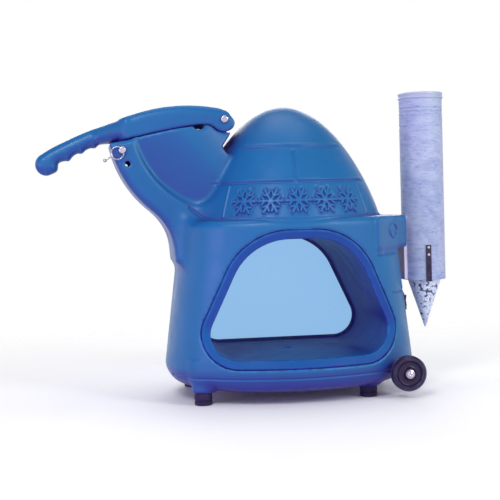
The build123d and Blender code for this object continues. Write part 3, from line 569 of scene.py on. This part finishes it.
def step_up(value, width):
    """0 below zero and 1 past the width, smooth between."""
    t = np.clip(value / width, 0, 1)
    return t * t * (3 - 2 * t)


def stroke(u, v, start, end):
    """Distance to a straight stroke between two points."""
    ex, ey = end[0] - start[0], end[1] - start[1]
    t = np.clip(((u - start[0]) * ex + (v - start[1]) * ey) / (ex * ex + ey * ey), 0, 1)
    return np.hypot(u - start[0] - ex * t, v - start[1] - ey * t)


def snowflake(u, v, radius):
    """Distance to a plain six-armed snowflake, negative inside its strokes."""
    turn = np.arctan2(v, u)
    folded = np.abs((turn + math.pi / 6) % (math.pi / 3) - math.pi / 6)
    reach = np.hypot(u, v)
    a, b = reach * np.cos(folded), reach * np.sin(folded)
    arm = stroke(a, b, (0, 0), (radius, 0)) - 0.1 * radius
    barb = stroke(a, b, (0.45 * radius, 0), (0.72 * radius, 0.3 * radius)) - 0.08 * radius
    return np.minimum(arm, barb)


flake_z = 417 * mm
flake_pitch = 58 * mm
flake_radius = 26.5 * mm
seam_high, seam_low = 529 * mm, 455.5 * mm
panel_high, panel_low = 449 * mm, 388 * mm
panel_radius, panel_half_length = 200 * mm, 166 * mm


def relief(p):
    """Height added to the cabinet's skin at points p, and a mask of where detail needs small faces."""
    front = p.y < 0
    reach = np.hypot(p.x - centre_x, p.y)
    azimuth = np.arctan2(p.x - centre_x, np.abs(p.y))
    on_dome = (p.z > deck_z + 2 * mm) & (p.x > centre_x - 190 * mm) & (np.abs(azimuth) < 1.25)
    height = np.zeros(len(p.x))
    near = np.zeros(len(p.x), bool)
    for level, spread in ((seam_high, 0.98), (seam_low, 1.12)):
        fade = step_up(spread - np.abs(azimuth), 0.16) * on_dome
        height -= 2.2 * mm * bell(p.z - level, 4.5 * mm) * fade
        height += 0.9 * mm * bell(p.z - level - 5 * mm, 4 * mm) * fade
        near |= (np.abs(p.z - level) < 11 * mm) & (fade > 0)
    upright = stroke(azimuth * reach, p.z, (-4 * mm, seam_low + 4 * mm), (-2 * mm, seam_high - 8 * mm))
    height -= 2.4 * mm * bell(upright, 5.5 * mm) * on_dome
    near |= (upright < 9 * mm) & on_dome
    for side in (-1, 1):
        edge = side * panel_half_length
        line = stroke(azimuth * panel_radius, p.z, (edge, panel_high), (edge, panel_low))
        height += 2.0 * mm * bell(line, 4 * mm) * on_dome
        near |= (line < 7 * mm) & on_dome
    panel = on_dome & front & (p.z < seam_low) & (np.abs(azimuth) < 0.8)
    for place in range(5):
        middle = (place - 2) * flake_pitch - 3 * mm
        flake = snowflake(azimuth * panel_radius - middle, p.z - flake_z, flake_radius)
        raised = 3.8 * mm * step_up(1.8 * mm - flake, 3 * mm)
        moat = 0.8 * mm * bell(flake - 3 * mm, 3 * mm)
        height += (raised - moat) * panel
    near |= panel & (np.abs(p.z - flake_z) < 32 * mm)
    crease = base_form(p) - dome_form(p)
    foot = (p.z > deck_z - 26 * mm) & (np.abs(azimuth) < 1.2) & (reach > 0.8 * dome_radius)
    height -= 2.8 * mm * bell(crease, 6 * mm) * foot
    near |= (np.abs(crease) < 9 * mm) & foot
    bead_z = 57 * mm
    low_side = (np.abs(p.y) > 60 * mm) | (p.x > 300 * mm)
    height -= 1.5 * mm * bell(p.z - bead_z, 3.6 * mm) * low_side
    near |= (np.abs(p.z - bead_z) < 8 * mm) & low_side
    corner = (p.x > 236 * mm) & front & (p.y < -60 * mm)
    tick = stroke(p.x, p.z, (284 * mm, 219 * mm), (340 * mm, 219 * mm))
    tick = np.minimum(tick, stroke(p.x, p.z, (250 * mm, 297 * mm), (296 * mm, 299 * mm)))
    height -= 1.8 * mm * bell(tick, 3.6 * mm) * corner
    near |= (tick < 8 * mm) & corner
    ring = np.abs(np.hypot((p.x - 298 * mm) / 0.8, p.z - 349 * mm) - 14 * mm)
    height += 2.6 * mm * step_up(3.4 * mm - ring, 2.2 * mm) * corner
    near |= (ring < 9 * mm) & corner
    near |= (np.abs(arm_side(p)) < 5 * mm) & (p.z > 292 * mm) & (p.z < deck_z) & (p.x < 280 * mm)
    near |= (np.abs(p.z - 302 * mm) < 6 * mm) & (arm_side(p) > -4 * mm) & (p.x < 330 * mm)
    return height, near


def small_faces(piece, wanted, cuts):
    """Divides the faces that the test picks, so that they can carry fine relief."""
    work = bmesh.new()
    work.from_mesh(piece.data)
    centres = np.array([face.calc_center_median() for face in work.faces])
    picked = wanted(centres)
    edges = {edge for face, take in zip(work.faces, picked) if take for edge in face.edges}
    edges = sorted(edges, key=lambda edge: edge.index)
    bmesh.ops.subdivide_edges(work, edges=edges, cuts=cuts, use_grid_fill=True)
    work.to_mesh(piece.data)
    work.free()
    piece.data.polygons.foreach_set("use_smooth", [True] * len(piece.data.polygons))


def outer_only(points, normals):
    """Skips the inside of the hollow mouldings, whose faces look back at the middle."""
    middle = np.array([centre_x, 0, 0.3])
    return ((points - middle) * normals).sum(1) > 0


def carve(piece):
    """Adds the grooves, ridges and snowflakes to the cabinet."""
    small_faces(piece, lambda centres: relief(Points(centres))[1], 3)
    mesh = piece.data
    count = len(mesh.vertices)
    places = np.empty(count * 3)
    mesh.vertices.foreach_get("co", places)
    places = places.reshape(-1, 3)
    normals = np.empty(count * 3, np.float32)
    mesh.vertex_normals.foreach_get("vector", normals)
    normals = normals.reshape(-1, 3)
    height = relief(Points(places))[0] * outer_only(places, normals)
    places += normals * height[:, None]
    mesh.vertices.foreach_set("co", places.ravel())
    mesh.update()


# ---------------------------------------------------------------- finishes
def srgb(red, green, blue):
    """A colour given as 0 to 255 screen values."""
    screen = (red, green, blue)
    linear = [((c / 255 + 0.055) / 1.055) ** 2.4 if c > 10 else c / 3295 for c in screen]
    return (*linear, 1.0)


def add_node(tree, kind, inputs=None, **settings):
    """A shader node with its settings, and its inputs as values or links."""
    made = tree.nodes.new("ShaderNode" + kind)
    for key, value in settings.items():
        setattr(made, key, value)
    for key, value in (inputs or {}).items():
        if isinstance(value, bpy.types.NodeSocket):
            tree.links.new(value, made.inputs[key])
        else:
            made.inputs[key].default_value = value
    return made


def mix(tree, factor, first, second, blend="MIX"):
    """A colour mix node's result."""
    made = add_node(tree, "Mix", data_type="RGBA", blend_type=blend)
    for place, value in ((0, factor), (6, first), (7, second)):
        if isinstance(value, bpy.types.NodeSocket):
            tree.links.new(value, made.inputs[place])
        else:
            made.inputs[place].default_value = value
    return made.outputs[2]


def ramp(tree, value, low, high, out_low=0.0, out_high=1.0):
    """A value moved from one range to another, clamped."""
    inputs = {"Value": value, "From Min": low, "From Max": high, "To Min": out_low, "To Max": out_high}
    return add_node(tree, "MapRange", inputs).outputs["Result"]


def noise(tree, place, scale, detail=3.0, rough=0.55, stretch=None, distortion=0.0):
    """Noise in the object's own space, stretched if asked."""
    if stretch:
        place = add_node(tree, "Mapping", {"Vector": place, "Scale": stretch}).outputs["Vector"]
    inputs = {"Vector": place, "Scale": scale, "Detail": detail, "Roughness": rough}
    inputs["Distortion"] = distortion
    return add_node(tree, "TexNoise", inputs).outputs["Fac"]


def finish(
    name, colour, shade, roughness, metallic=0.0, grain=260.0, bump=0.15, patch=9.0, stretch=None,
    wear=0.25, worn=None, hollow=None, coat=0.0, gleam=0.5, swing=0.1, depth=0.5, room=0.11,
):
    """A plain finish with patches of colour, fine grain, uneven gloss, worn edges and, where a hollow colour
    is given, painted shade: that colour mixed in on downward faces and in hollows that ambient occlusion
    finds.
    """
    material = bpy.data.materials.new(name)
    material.use_nodes = True
    tree = material.node_tree
    shader = tree.nodes["Principled BSDF"]
    place = add_node(tree, "TexCoord").outputs["Object"]
    cloud = noise(tree, place, patch, 4.0)
    tone = mix(tree, ramp(tree, cloud, 0.35, 0.68), colour, shade)
    geometry = add_node(tree, "NewGeometry")
    edge = ramp(tree, geometry.outputs["Pointiness"], 0.512, 0.56, 0.0, wear)
    scuff = ramp(tree, noise(tree, place, 42.0, 6.0, 0.7), 0.42, 0.6)
    edge = add_node(tree, "Math", {0: edge, 1: scuff}, operation="MULTIPLY").outputs[0]
    tone = mix(tree, edge, tone, worn or (*(min(1.0, c * 1.7 + 0.03) for c in colour[:3]), 1.0))
    # Painted shade: the hollow colour is mixed in on faces that look downwards and where ambient occlusion
    # finds hollows, standing in for violet shade; depth and room set how strong and how wide the occlusion
    # shade is.
    if hollow:
        shadow = add_node(tree, "AmbientOcclusion", {"Distance": room}, samples=6)
        facing = add_node(tree, "SeparateXYZ", {0: geometry.outputs["Normal"]})
        under = ramp(tree, facing.outputs["Z"], 0.04, -0.16, 0.0, 0.42)
        tone = mix(tree, under, tone, hollow)
        occlusion_painted_shade = ramp(tree, shadow.outputs["AO"], depth - 0.3, depth + 0.4, 0.9, 0.0)
        tone = mix(tree, occlusion_painted_shade, tone, hollow)
    tree.links.new(tone, shader.inputs["Base Color"])
    fine = noise(tree, place, grain, 4.0, 0.6, stretch)
    smears = noise(tree, place, 24.0, 6.0, 0.65, stretch)
    gloss = ramp(tree, smears, 0.3, 0.7, roughness - swing / 2, roughness + swing)
    tree.links.new(gloss, shader.inputs["Roughness"])
    raised = add_node(tree, "Bump", {"Strength": bump, "Distance": 0.001, "Height": fine})
    tree.links.new(raised.outputs["Normal"], shader.inputs["Normal"])
    shader.inputs["Metallic"].default_value = metallic
    shader.inputs["Specular IOR Level"].default_value = gleam
    shader.inputs["Coat Weight"].default_value = coat
    shader.inputs["Coat Roughness"].default_value = 0.18
    return material


def cup_print():
    """White paper with a loose two-blue scribble print."""
    paper_white, paper_shade = srgb(226, 232, 246), srgb(214, 222, 242)
    material = finish("cup_print", paper_white, paper_shade, 0.5, bump=0.1, wear=0.0)
    tree = material.node_tree
    shader = tree.nodes["Principled BSDF"]
    paper = shader.inputs["Base Color"].links[0].from_socket
    place = add_node(tree, "TexCoord").outputs["Object"]
    waves = noise(tree, place, 105.0, 2.0, 0.5, distortion=2.8)
    lines = add_node(tree, "Math", {0: waves, 1: 0.5}, operation="SUBTRACT").outputs[0]
    lines = add_node(tree, "Math", {0: lines}, operation="ABSOLUTE").outputs[0]
    inked = mix(tree, ramp(tree, lines, 0.026, 0.04, 0.85, 0.0), paper, srgb(84, 106, 188))
    spots = noise(tree, place, 130.0, 1.0, 0.4)
    inked = mix(tree, ramp(tree, spots, 0.62, 0.65, 0.0, 0.9), inked, srgb(30, 38, 104))
    tree.links.new(inked, shader.inputs["Base Color"])
    return material


def frosted(name, colour, shade, clear, streaks):
    """Frosted clear plastic: part of the light passes, and faint printed streaks run round it."""
    material = finish(name, colour, shade, 0.34, grain=420.0, bump=0.12, wear=0.1, coat=0.3)
    tree = material.node_tree
    shader = tree.nodes["Principled BSDF"]
    body = shader.inputs["Base Color"].links[0].from_socket
    place = add_node(tree, "TexCoord").outputs["Object"]
    hatch = noise(tree, place, 60.0, 5.0, 0.75, stretch=(1.0, 1.0, 5.0), distortion=0.8)
    blots = noise(tree, place, 14.0, 4.0, 0.6, stretch=(1.0, 1.0, 1.6), distortion=1.2)
    body = mix(tree, ramp(tree, hatch, 0.48, 0.7, 0.0, streaks), body, srgb(92, 116, 190))
    body = mix(tree, ramp(tree, blots, 0.5, 0.72, 0.0, 0.9 * streaks), body, srgb(128, 146, 210))
    tree.links.new(body, shader.inputs["Base Color"])
    glow = add_node(tree, "BsdfTranslucent", {"Color": body})
    through = add_node(tree, "BsdfTransparent", {"Color": srgb(226, 230, 250)})
    soft = add_node(tree, "MixShader", {0: 0.3, 1: shader.outputs[0], 2: glow.outputs[0]})
    whole = add_node(tree, "MixShader", {0: clear, 1: soft.outputs[0], 2: through.outputs[0]})
    tree.links.new(whole.outputs[0], tree.nodes["Material Output"].inputs["Surface"])
    return material


def tinted_pane_painted_glow():
    """Light blue acrylic with a painted glow: an emission makes it shine flat light blue as if lit from
    behind, and some light passes through it.
    """
    material = finish(
        "tinted_pane_painted_glow", srgb(96, 128, 158), srgb(92, 124, 154), 0.3, bump=0.02, wear=0.0, patch=4.0, gleam=0.2
    )
    tree = material.node_tree
    shader = tree.nodes["Principled BSDF"]
    # Painted glow: this emission makes the pane shine flat light blue, standing in for light from behind it.
    shader.inputs["Emission Color"].default_value = srgb(147, 191, 226)
    shader.inputs["Emission Strength"].default_value = 1.0
    glow = add_node(tree, "BsdfTranslucent", {"Color": srgb(120, 165, 205)})
    whole = add_node(tree, "MixShader", {0: 0.15, 1: shader.outputs[0], 2: glow.outputs[0]})
    tree.links.new(whole.outputs[0], tree.nodes["Material Output"].inputs["Surface"])
    return material


# Painted shade: the violet hollow colour darkens the downward faces and occluded hollows of the blue
# mouldings.
blue = finish(
    "moulded_blue", srgb(16, 95, 152), srgb(12, 87, 143), 0.34, grain=620.0, bump=0.16, patch=4.0,
    wear=0.5, worn=srgb(58, 134, 202), hollow=srgb(46, 26, 130), gleam=0.3, swing=0.1,
)
# Painted shade: the bin's hollow colour, with a wider occlusion reach, darkens the inside of the bin tunnel
# to violet.
bin_blue = finish(
    "bin_blue", srgb(18, 86, 150), srgb(15, 78, 142), 0.46, grain=300.0, bump=0.06, patch=4.0,
    wear=0.5, worn=srgb(64, 124, 200), hollow=srgb(48, 24, 132), gleam=0.1, swing=0.06,
    depth=0.55, room=0.22,
)
finishes = {
    "window_tint": tinted_pane_painted_glow(),
    "gasket_blue": finish(
        "gasket", srgb(52, 58, 140), srgb(46, 50, 130), 0.5, bump=0.3, worn=srgb(90, 98, 170)
    ),
    "black_rubber": finish(
        "rubber", srgb(30, 20, 56), srgb(38, 26, 66), 0.62, bump=0.5, worn=srgb(80, 68, 116), gleam=0.25
    ),
    "cast_metal": finish("cast_metal", srgb(176, 178, 184), srgb(150, 152, 160), 0.5, 0.9, 180.0, 0.5),
    "sheet_metal": finish(
        "sheet_metal", srgb(198, 200, 204), srgb(184, 186, 192), 0.34, 1.0, 150.0, 0.2,
        stretch=(1.0, 12.0, 1.0),
    ),
    "motor_paint": finish(
        "motor_paint", srgb(52, 54, 60), srgb(42, 44, 50), 0.45, bump=0.4, worn=srgb(140, 140, 146)
    ),
    "steel": finish(
        "steel", srgb(188, 188, 194), srgb(166, 166, 174), 0.3, 1.0, 240.0, 0.2, stretch=(1.0, 1.0, 8.0)
    ),
    "bright_metal": finish(
        "bright_metal", srgb(206, 198, 214), srgb(186, 178, 198), 0.2, 1.0, 200.0, 0.08
    ),
    "black_plastic": finish(
        "black_plastic", srgb(24, 14, 48), srgb(31, 19, 58), 0.3, bump=0.25, gleam=0.35,
        worn=srgb(86, 78, 116),
    ),
    "grey_plastic": finish("grey_plastic", srgb(212, 206, 236), srgb(196, 190, 226), 0.42, bump=0.2),
    "clear_plastic": frosted("frosted_tube", srgb(204, 214, 242), srgb(188, 200, 236), 0.16, 0.6),
    "lid_plastic": frosted("frosted_lid", srgb(206, 214, 236), srgb(184, 194, 224), 0.1, 0.15),
    "cup_paper": cup_print(),
    "body_blue": blue,
    "liner_blue": bin_blue,
}


# ---------------------------------------------------------------- the mouldings
def make_mouldings():
    """The cabinet's skin, the bin and the lever, from their distance fields."""
    cabinet = moulding(
        "cabinet_skin", body_field, (-300 * mm, shell_low.y, floor_z),
        (shell_high.x, shell_high.y, dome_high.z), 3.3 * mm, "cabinet", blue,
    )
    carve(cabinet)
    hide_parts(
        "cabinet_shell", "cabinet_top", "dispenser_arm", "hopper_neck", "front_cheek",
        "back_cheek", "dome_cover",
    )
    reach = 215 * mm
    tub = moulding(
        "bin_skin", bin_field, (centre_x - reach, shell_low.y, opening_low),
        (centre_x + reach, shell_high.y, opening_high), 2.6 * mm, "cabinet", bin_blue,
    )
    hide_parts("bin_floor", "bin_left", "bin_right", "bin_roof")
    lever_low, lever_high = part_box("lever_arm")
    lever = moulding(
        "lever_skin", lever_field, lever_low, lever_high, 2.2 * mm, "lever", blue
    )
    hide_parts("lever_arm")


# ---------------------------------------------------------------- turned pieces
def make_wheels():
    """Solid wheels: a round-shouldered tyre with two tread grooves, a dished web and a domed hub."""
    sides = (("front_wheel", "front_wheel_body", -1), ("back_wheel", "back_wheel_body", 1))
    for name, body, outward in sides:
        low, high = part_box(name)
        radius, half = (high.x - low.x) / 2, (high.y - low.y) / 2
        hub = inset(0, half, [(-9.6, 0), (-11, -0.6), (-12.5, -4), (-15, -6)])
        web = inset(radius, half, [(17, -6.4), (13, -5), (10.5, -1)])
        tyre = inset(radius, half, [(9, 0), (4, -0.6), (1.2, -3.4), (0, -6)])
        tread = inset(radius, 0, [(0, 3.6), (1.6, 2.8), (1.6, 1.2)])
        profile = [(axle_hole_radius, half)] + hub + web + tyre + tread
        profile = profile + [(r, -h) for r, h in reversed(profile)] + [profile[0]]
        wheel = lathe(
            name + "_tyre", profile, (low + high) / 2, (0, outward, 0), body,
            finishes["black_plastic"], 96,
        )
        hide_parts(name)


def make_axle_caps():
    """Domed push-on caps with a raised collar on both axle ends."""
    low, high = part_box("axle_caps")
    centre = ((low.x + high.x) / 2, 0, (low.z + high.z) / 2)
    for side, name in ((-1, "front"), (1, "back")):
        tip = high.y if side > 0 else -low.y
        collar = inset(0, tip, [(-9, -6), (-9, -4), (-7.6, -3.4), (-7.2, -2), (-5.6, -0.7)])
        crown = inset(0, tip, [(-3, -0.1), (-2.4, -0.6), (0, -0.7)])
        profile = [(axle_hole_radius, tip - 6 * mm)] + collar + crown
        cap = lathe(
            "axle_cap_" + name, profile, centre, (0, side, 0), "cabinet",
            finishes["bright_metal"], 48,
        )
        if side < 0:
            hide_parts("axle_caps")


def make_feet():
    """Round rubber feet with two grooves and a chamfered sole."""
    height = feet_high.z
    screw_hole = scaled([(7, 9), (7, 0.6), (7.8, 0)])
    sole = inset(foot_radius, 0, [(2.2, 0), (0.6, 0.8), (0, 2.4)])
    grooves = inset(foot_radius, 0, [(0, 8), (1.3, 9), (1.3, 10.4), (0, 11.4)])
    top = inset(foot_radius, height, [(0, -4), (0.8, 0)])
    profile = screw_hole + sole + grooves + top + [(0.0, height)]
    number = 0
    for x in (feet_low.x + foot_radius, feet_high.x - foot_radius):
        for y in (feet_low.y + foot_radius, feet_high.y - foot_radius):
            number += 1
            foot = lathe(
                f"foot_{number}", profile, (x, y, 0), (0, 0, 1), "cabinet",
                finishes["black_rubber"], 48,
            )
            if number == 1:
                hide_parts("rubber_feet")


def make_tube():
    """The frosted dispenser tube with fine rings under its mouth, and its rolled-edge lid."""
    low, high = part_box("cup_tube")
    centre = ((low.x + high.x) / 2, (low.y + high.y) / 2, 0)
    radius = (high.x - low.x) / 2
    outside = inset(radius, low.z, [(0.5, 0), (0, 0.6)])
    for drop in (70, 46, 38, 30):
        outside += inset(radius, high.z - drop * mm, [(0, -1.6), (0.9, -0.8), (0.9, 0.8), (0, 1.6)])
    outside += inset(radius, high.z, [(0, -0.6), (0.6, 0)])
    inner = radius - 2 * mm
    profile = outside + [(inner, high.z), (inner, low.z), outside[0]]
    tube = lathe(
        "dispenser_tube", profile, centre, (0, 0, 1), "cabinet",
        finishes["clear_plastic"], 96,
    )
    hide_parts("cup_tube")
    low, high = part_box("tube_lid")
    rim = (high.x - low.x) / 2
    top, bottom = high.z, low.z
    seat = inset(radius, bottom, [(-0.15, 0.6)])
    skirt = inset(rim, bottom, [(0.8, 0), (0, 1.2), (0.3, 3), (1.3, 4)])
    edge = inset(rim, top, [(1.3, -5), (0.4, -3.8), (0.6, -1.6), (2.4, -0.3)])
    face = inset(rim, top, [(6, 0), (12, -0.5), (16, -1.6)])
    middle = [(0.0, top - 1.6 * mm), (0.0, top - 3.6 * mm)]
    below = inset(radius, top, [(4, -3.6), (-0.15, -4.4)])
    profile = seat + skirt + edge + face + middle + below + seat
    lid = lathe(
        "dispenser_lid", profile, centre, (0, 0, 1), "lid_body",
        finishes["lid_plastic"], 96,
    )
    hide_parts("tube_lid")


def cup_profile(tip, rim_radius, height):
    """A paper cone with a rolled rim, as (radius, height) from the outside of the tip."""
    paper = 0.6 * mm
    outside = [(0.0, tip), (1.6 * mm, tip + 1.2 * mm)]
    rim = inset(rim_radius, tip + height, [(1.4, -2.4), (0, -1.6), (0, -0.4), (1.2, 0), (2, -1.6)])
    inside = [(1.0 * mm, tip + 1.2 * mm + 3 * paper), (0.0, tip + 3 * paper)]
    return outside + rim + inside


def make_cups():
    """The cone cup that sticks out at the bottom, and the stack above it."""
    paper = finishes["cup_paper"]
    low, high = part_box("bottom_cup")
    centre = ((low.x + high.x) / 2, (low.y + high.y) / 2, 0)
    rim_radius, height = (high.x - low.x) / 2, high.z - low.z
    profile = cup_profile(low.z, rim_radius, height)
    cup = lathe("lowest_cup", profile, centre, (0, 0, 1), "cup_body", paper, 72)
    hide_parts("bottom_cup")
    stack_low, stack_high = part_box("cup_stack")
    pitch = 9.5 * mm
    count = round((stack_high.z - stack_low.z - height) / pitch) + 1
    cups = []
    for number in range(count):
        profile = cup_profile(stack_low.z + pitch * number, rim_radius, height)
        name = f"stacked_cup_{number + 1}"
        cups.append(lathe(name, profile, centre, (0, 0, 1), "cabinet", paper, 40))
    whole = cups[0]
    work = bmesh.new()
    for piece in cups:
        work.from_mesh(piece.data)
    work.to_mesh(whole.data)
    work.free()
    for piece in cups[1:]:
        bpy.data.objects.remove(piece)
    whole.name = "stacked_cups"
    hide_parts("cup_stack")


def dress_frame():
    """Gives every CAD node that stays in sight the finish of its material slot."""
    slots = {row["node"]: row["material_slot"] for row in frame["record"]["subparts"]}
    for name, node in frame["nodes"].items():
        if node.hide_render:
            continue
        node.data.materials.clear()
        node.data.materials.append(finishes[slots[name]])
        node.data.set_sharp_from_angle(angle=math.radians(35))


# ---------------------------------------------------------------- camera, light and floor
def make_stage():
    """A large pale floor that fades out far from the object."""
    mesh = bpy.data.meshes.new("floor")
    work = bmesh.new()
    bmesh.ops.create_circle(work, cap_ends=True, segments=96, radius=9.0)
    work.to_mesh(mesh)
    work.free()
    floor = bpy.data.objects.new("floor", mesh)
    floor.location.z = -0.2 * mm
    bpy.context.scene.collection.objects.link(floor)
    white, shade = srgb(252, 252, 254), srgb(249, 249, 252)
    pale = finish("pale_floor", white, shade, 0.75, bump=0.02, wear=0.0, patch=1.2)
    tree = pale.node_tree
    place = add_node(tree, "TexCoord").outputs["Object"]
    reach = add_node(tree, "VectorMath", {0: place}, operation="LENGTH")
    clear = add_node(tree, "BsdfTransparent")
    fade = ramp(tree, reach.outputs["Value"], 0.45, 1.5)
    shader = tree.nodes["Principled BSDF"]
    whole = add_node(tree, "MixShader", {0: fade, 1: shader.outputs[0], 2: clear.outputs[0]})
    tree.links.new(whole.outputs[0], tree.nodes["Material Output"].inputs["Surface"])
    mesh.materials.append(pale)


def softbox(name, place, target, size, power, colour=(1, 1, 1)):
    """A large rectangular light aimed at a point."""
    data = bpy.data.lights.new(name, "AREA")
    data.shape = "RECTANGLE"
    data.size, data.size_y = size
    data.energy = power
    data.color = colour
    lamp = bpy.data.objects.new(name, data)
    lamp.location = place
    lamp.rotation_euler = (Vector(target) - Vector(place)).to_track_quat("-Z", "Y").to_euler()
    bpy.context.scene.collection.objects.link(lamp)


def make_light():
    """Softboxes at the front, overhead and behind, and a weak violet fill from low on the left."""
    middle = (0.05, 0, 0.35)
    softbox("key_left", (-1.0, -2.2, 2.1), middle, (0.8, 1.0), 34)
    softbox("key_right", (1.9, -2.1, 1.5), middle, (0.8, 1.1), 32)
    softbox("overhead", (0.2, 0.3, 2.6), middle, (1.8, 1.4), 15)
    softbox("back", (0.3, 2.6, 1.6), middle, (2.2, 1.2), 24)
    softbox("violet_fill", (-1.8, -1.2, 0.3), middle, (1.0, 0.5), 12, (0.6, 0.3, 1.0))
    world = bpy.data.worlds.new("studio")
    bpy.context.scene.world = world
    world.use_nodes = True
    tree = world.node_tree
    way = add_node(tree, "TexCoord").outputs["Generated"]
    height = add_node(tree, "SeparateXYZ", {0: way}).outputs["Z"]
    height = add_node(tree, "Math", {0: height}, operation="ABSOLUTE").outputs[0]
    strength = ramp(tree, height, 0.27, 0.5, 1.0, 0.3)
    background = tree.nodes["Background"]
    background.inputs["Color"].default_value = (1, 1, 1, 1)
    tree.links.new(strength, background.inputs["Strength"])


def make_camera():
    """The photograph's viewpoint: from the front left, slightly above, with a small roll."""
    yaw, pitch, roll = (math.radians(a) for a in (8.0, 2.5, 1.7))
    right = Vector((math.cos(yaw), -math.sin(yaw), 0))
    ahead = Vector((math.sin(yaw) * math.cos(pitch), math.cos(yaw) * math.cos(pitch), -math.sin(pitch)))
    up = right.cross(ahead)
    rolled_right = right * math.cos(roll) - up * math.sin(roll)
    rolled_up = right * math.sin(roll) + up * math.cos(roll)
    turn = Matrix((rolled_right, rolled_up, -ahead)).transposed().to_4x4()
    data = bpy.data.cameras.new("camera")
    data.lens = 82.08
    data.sensor_width = 36
    camera = bpy.data.objects.new("camera", data)
    camera.matrix_world = Matrix.Translation((-0.339, -2.464, 0.4204)) @ turn
    bpy.context.scene.collection.objects.link(camera)
    bpy.context.scene.camera = camera


make_camera()
make_light()
make_stage()
make_mouldings()
make_wheels()
make_axle_caps()
make_feet()
make_tube()
make_cups()
dress_frame()
bpy.context.scene.view_settings.view_transform = "Standard"
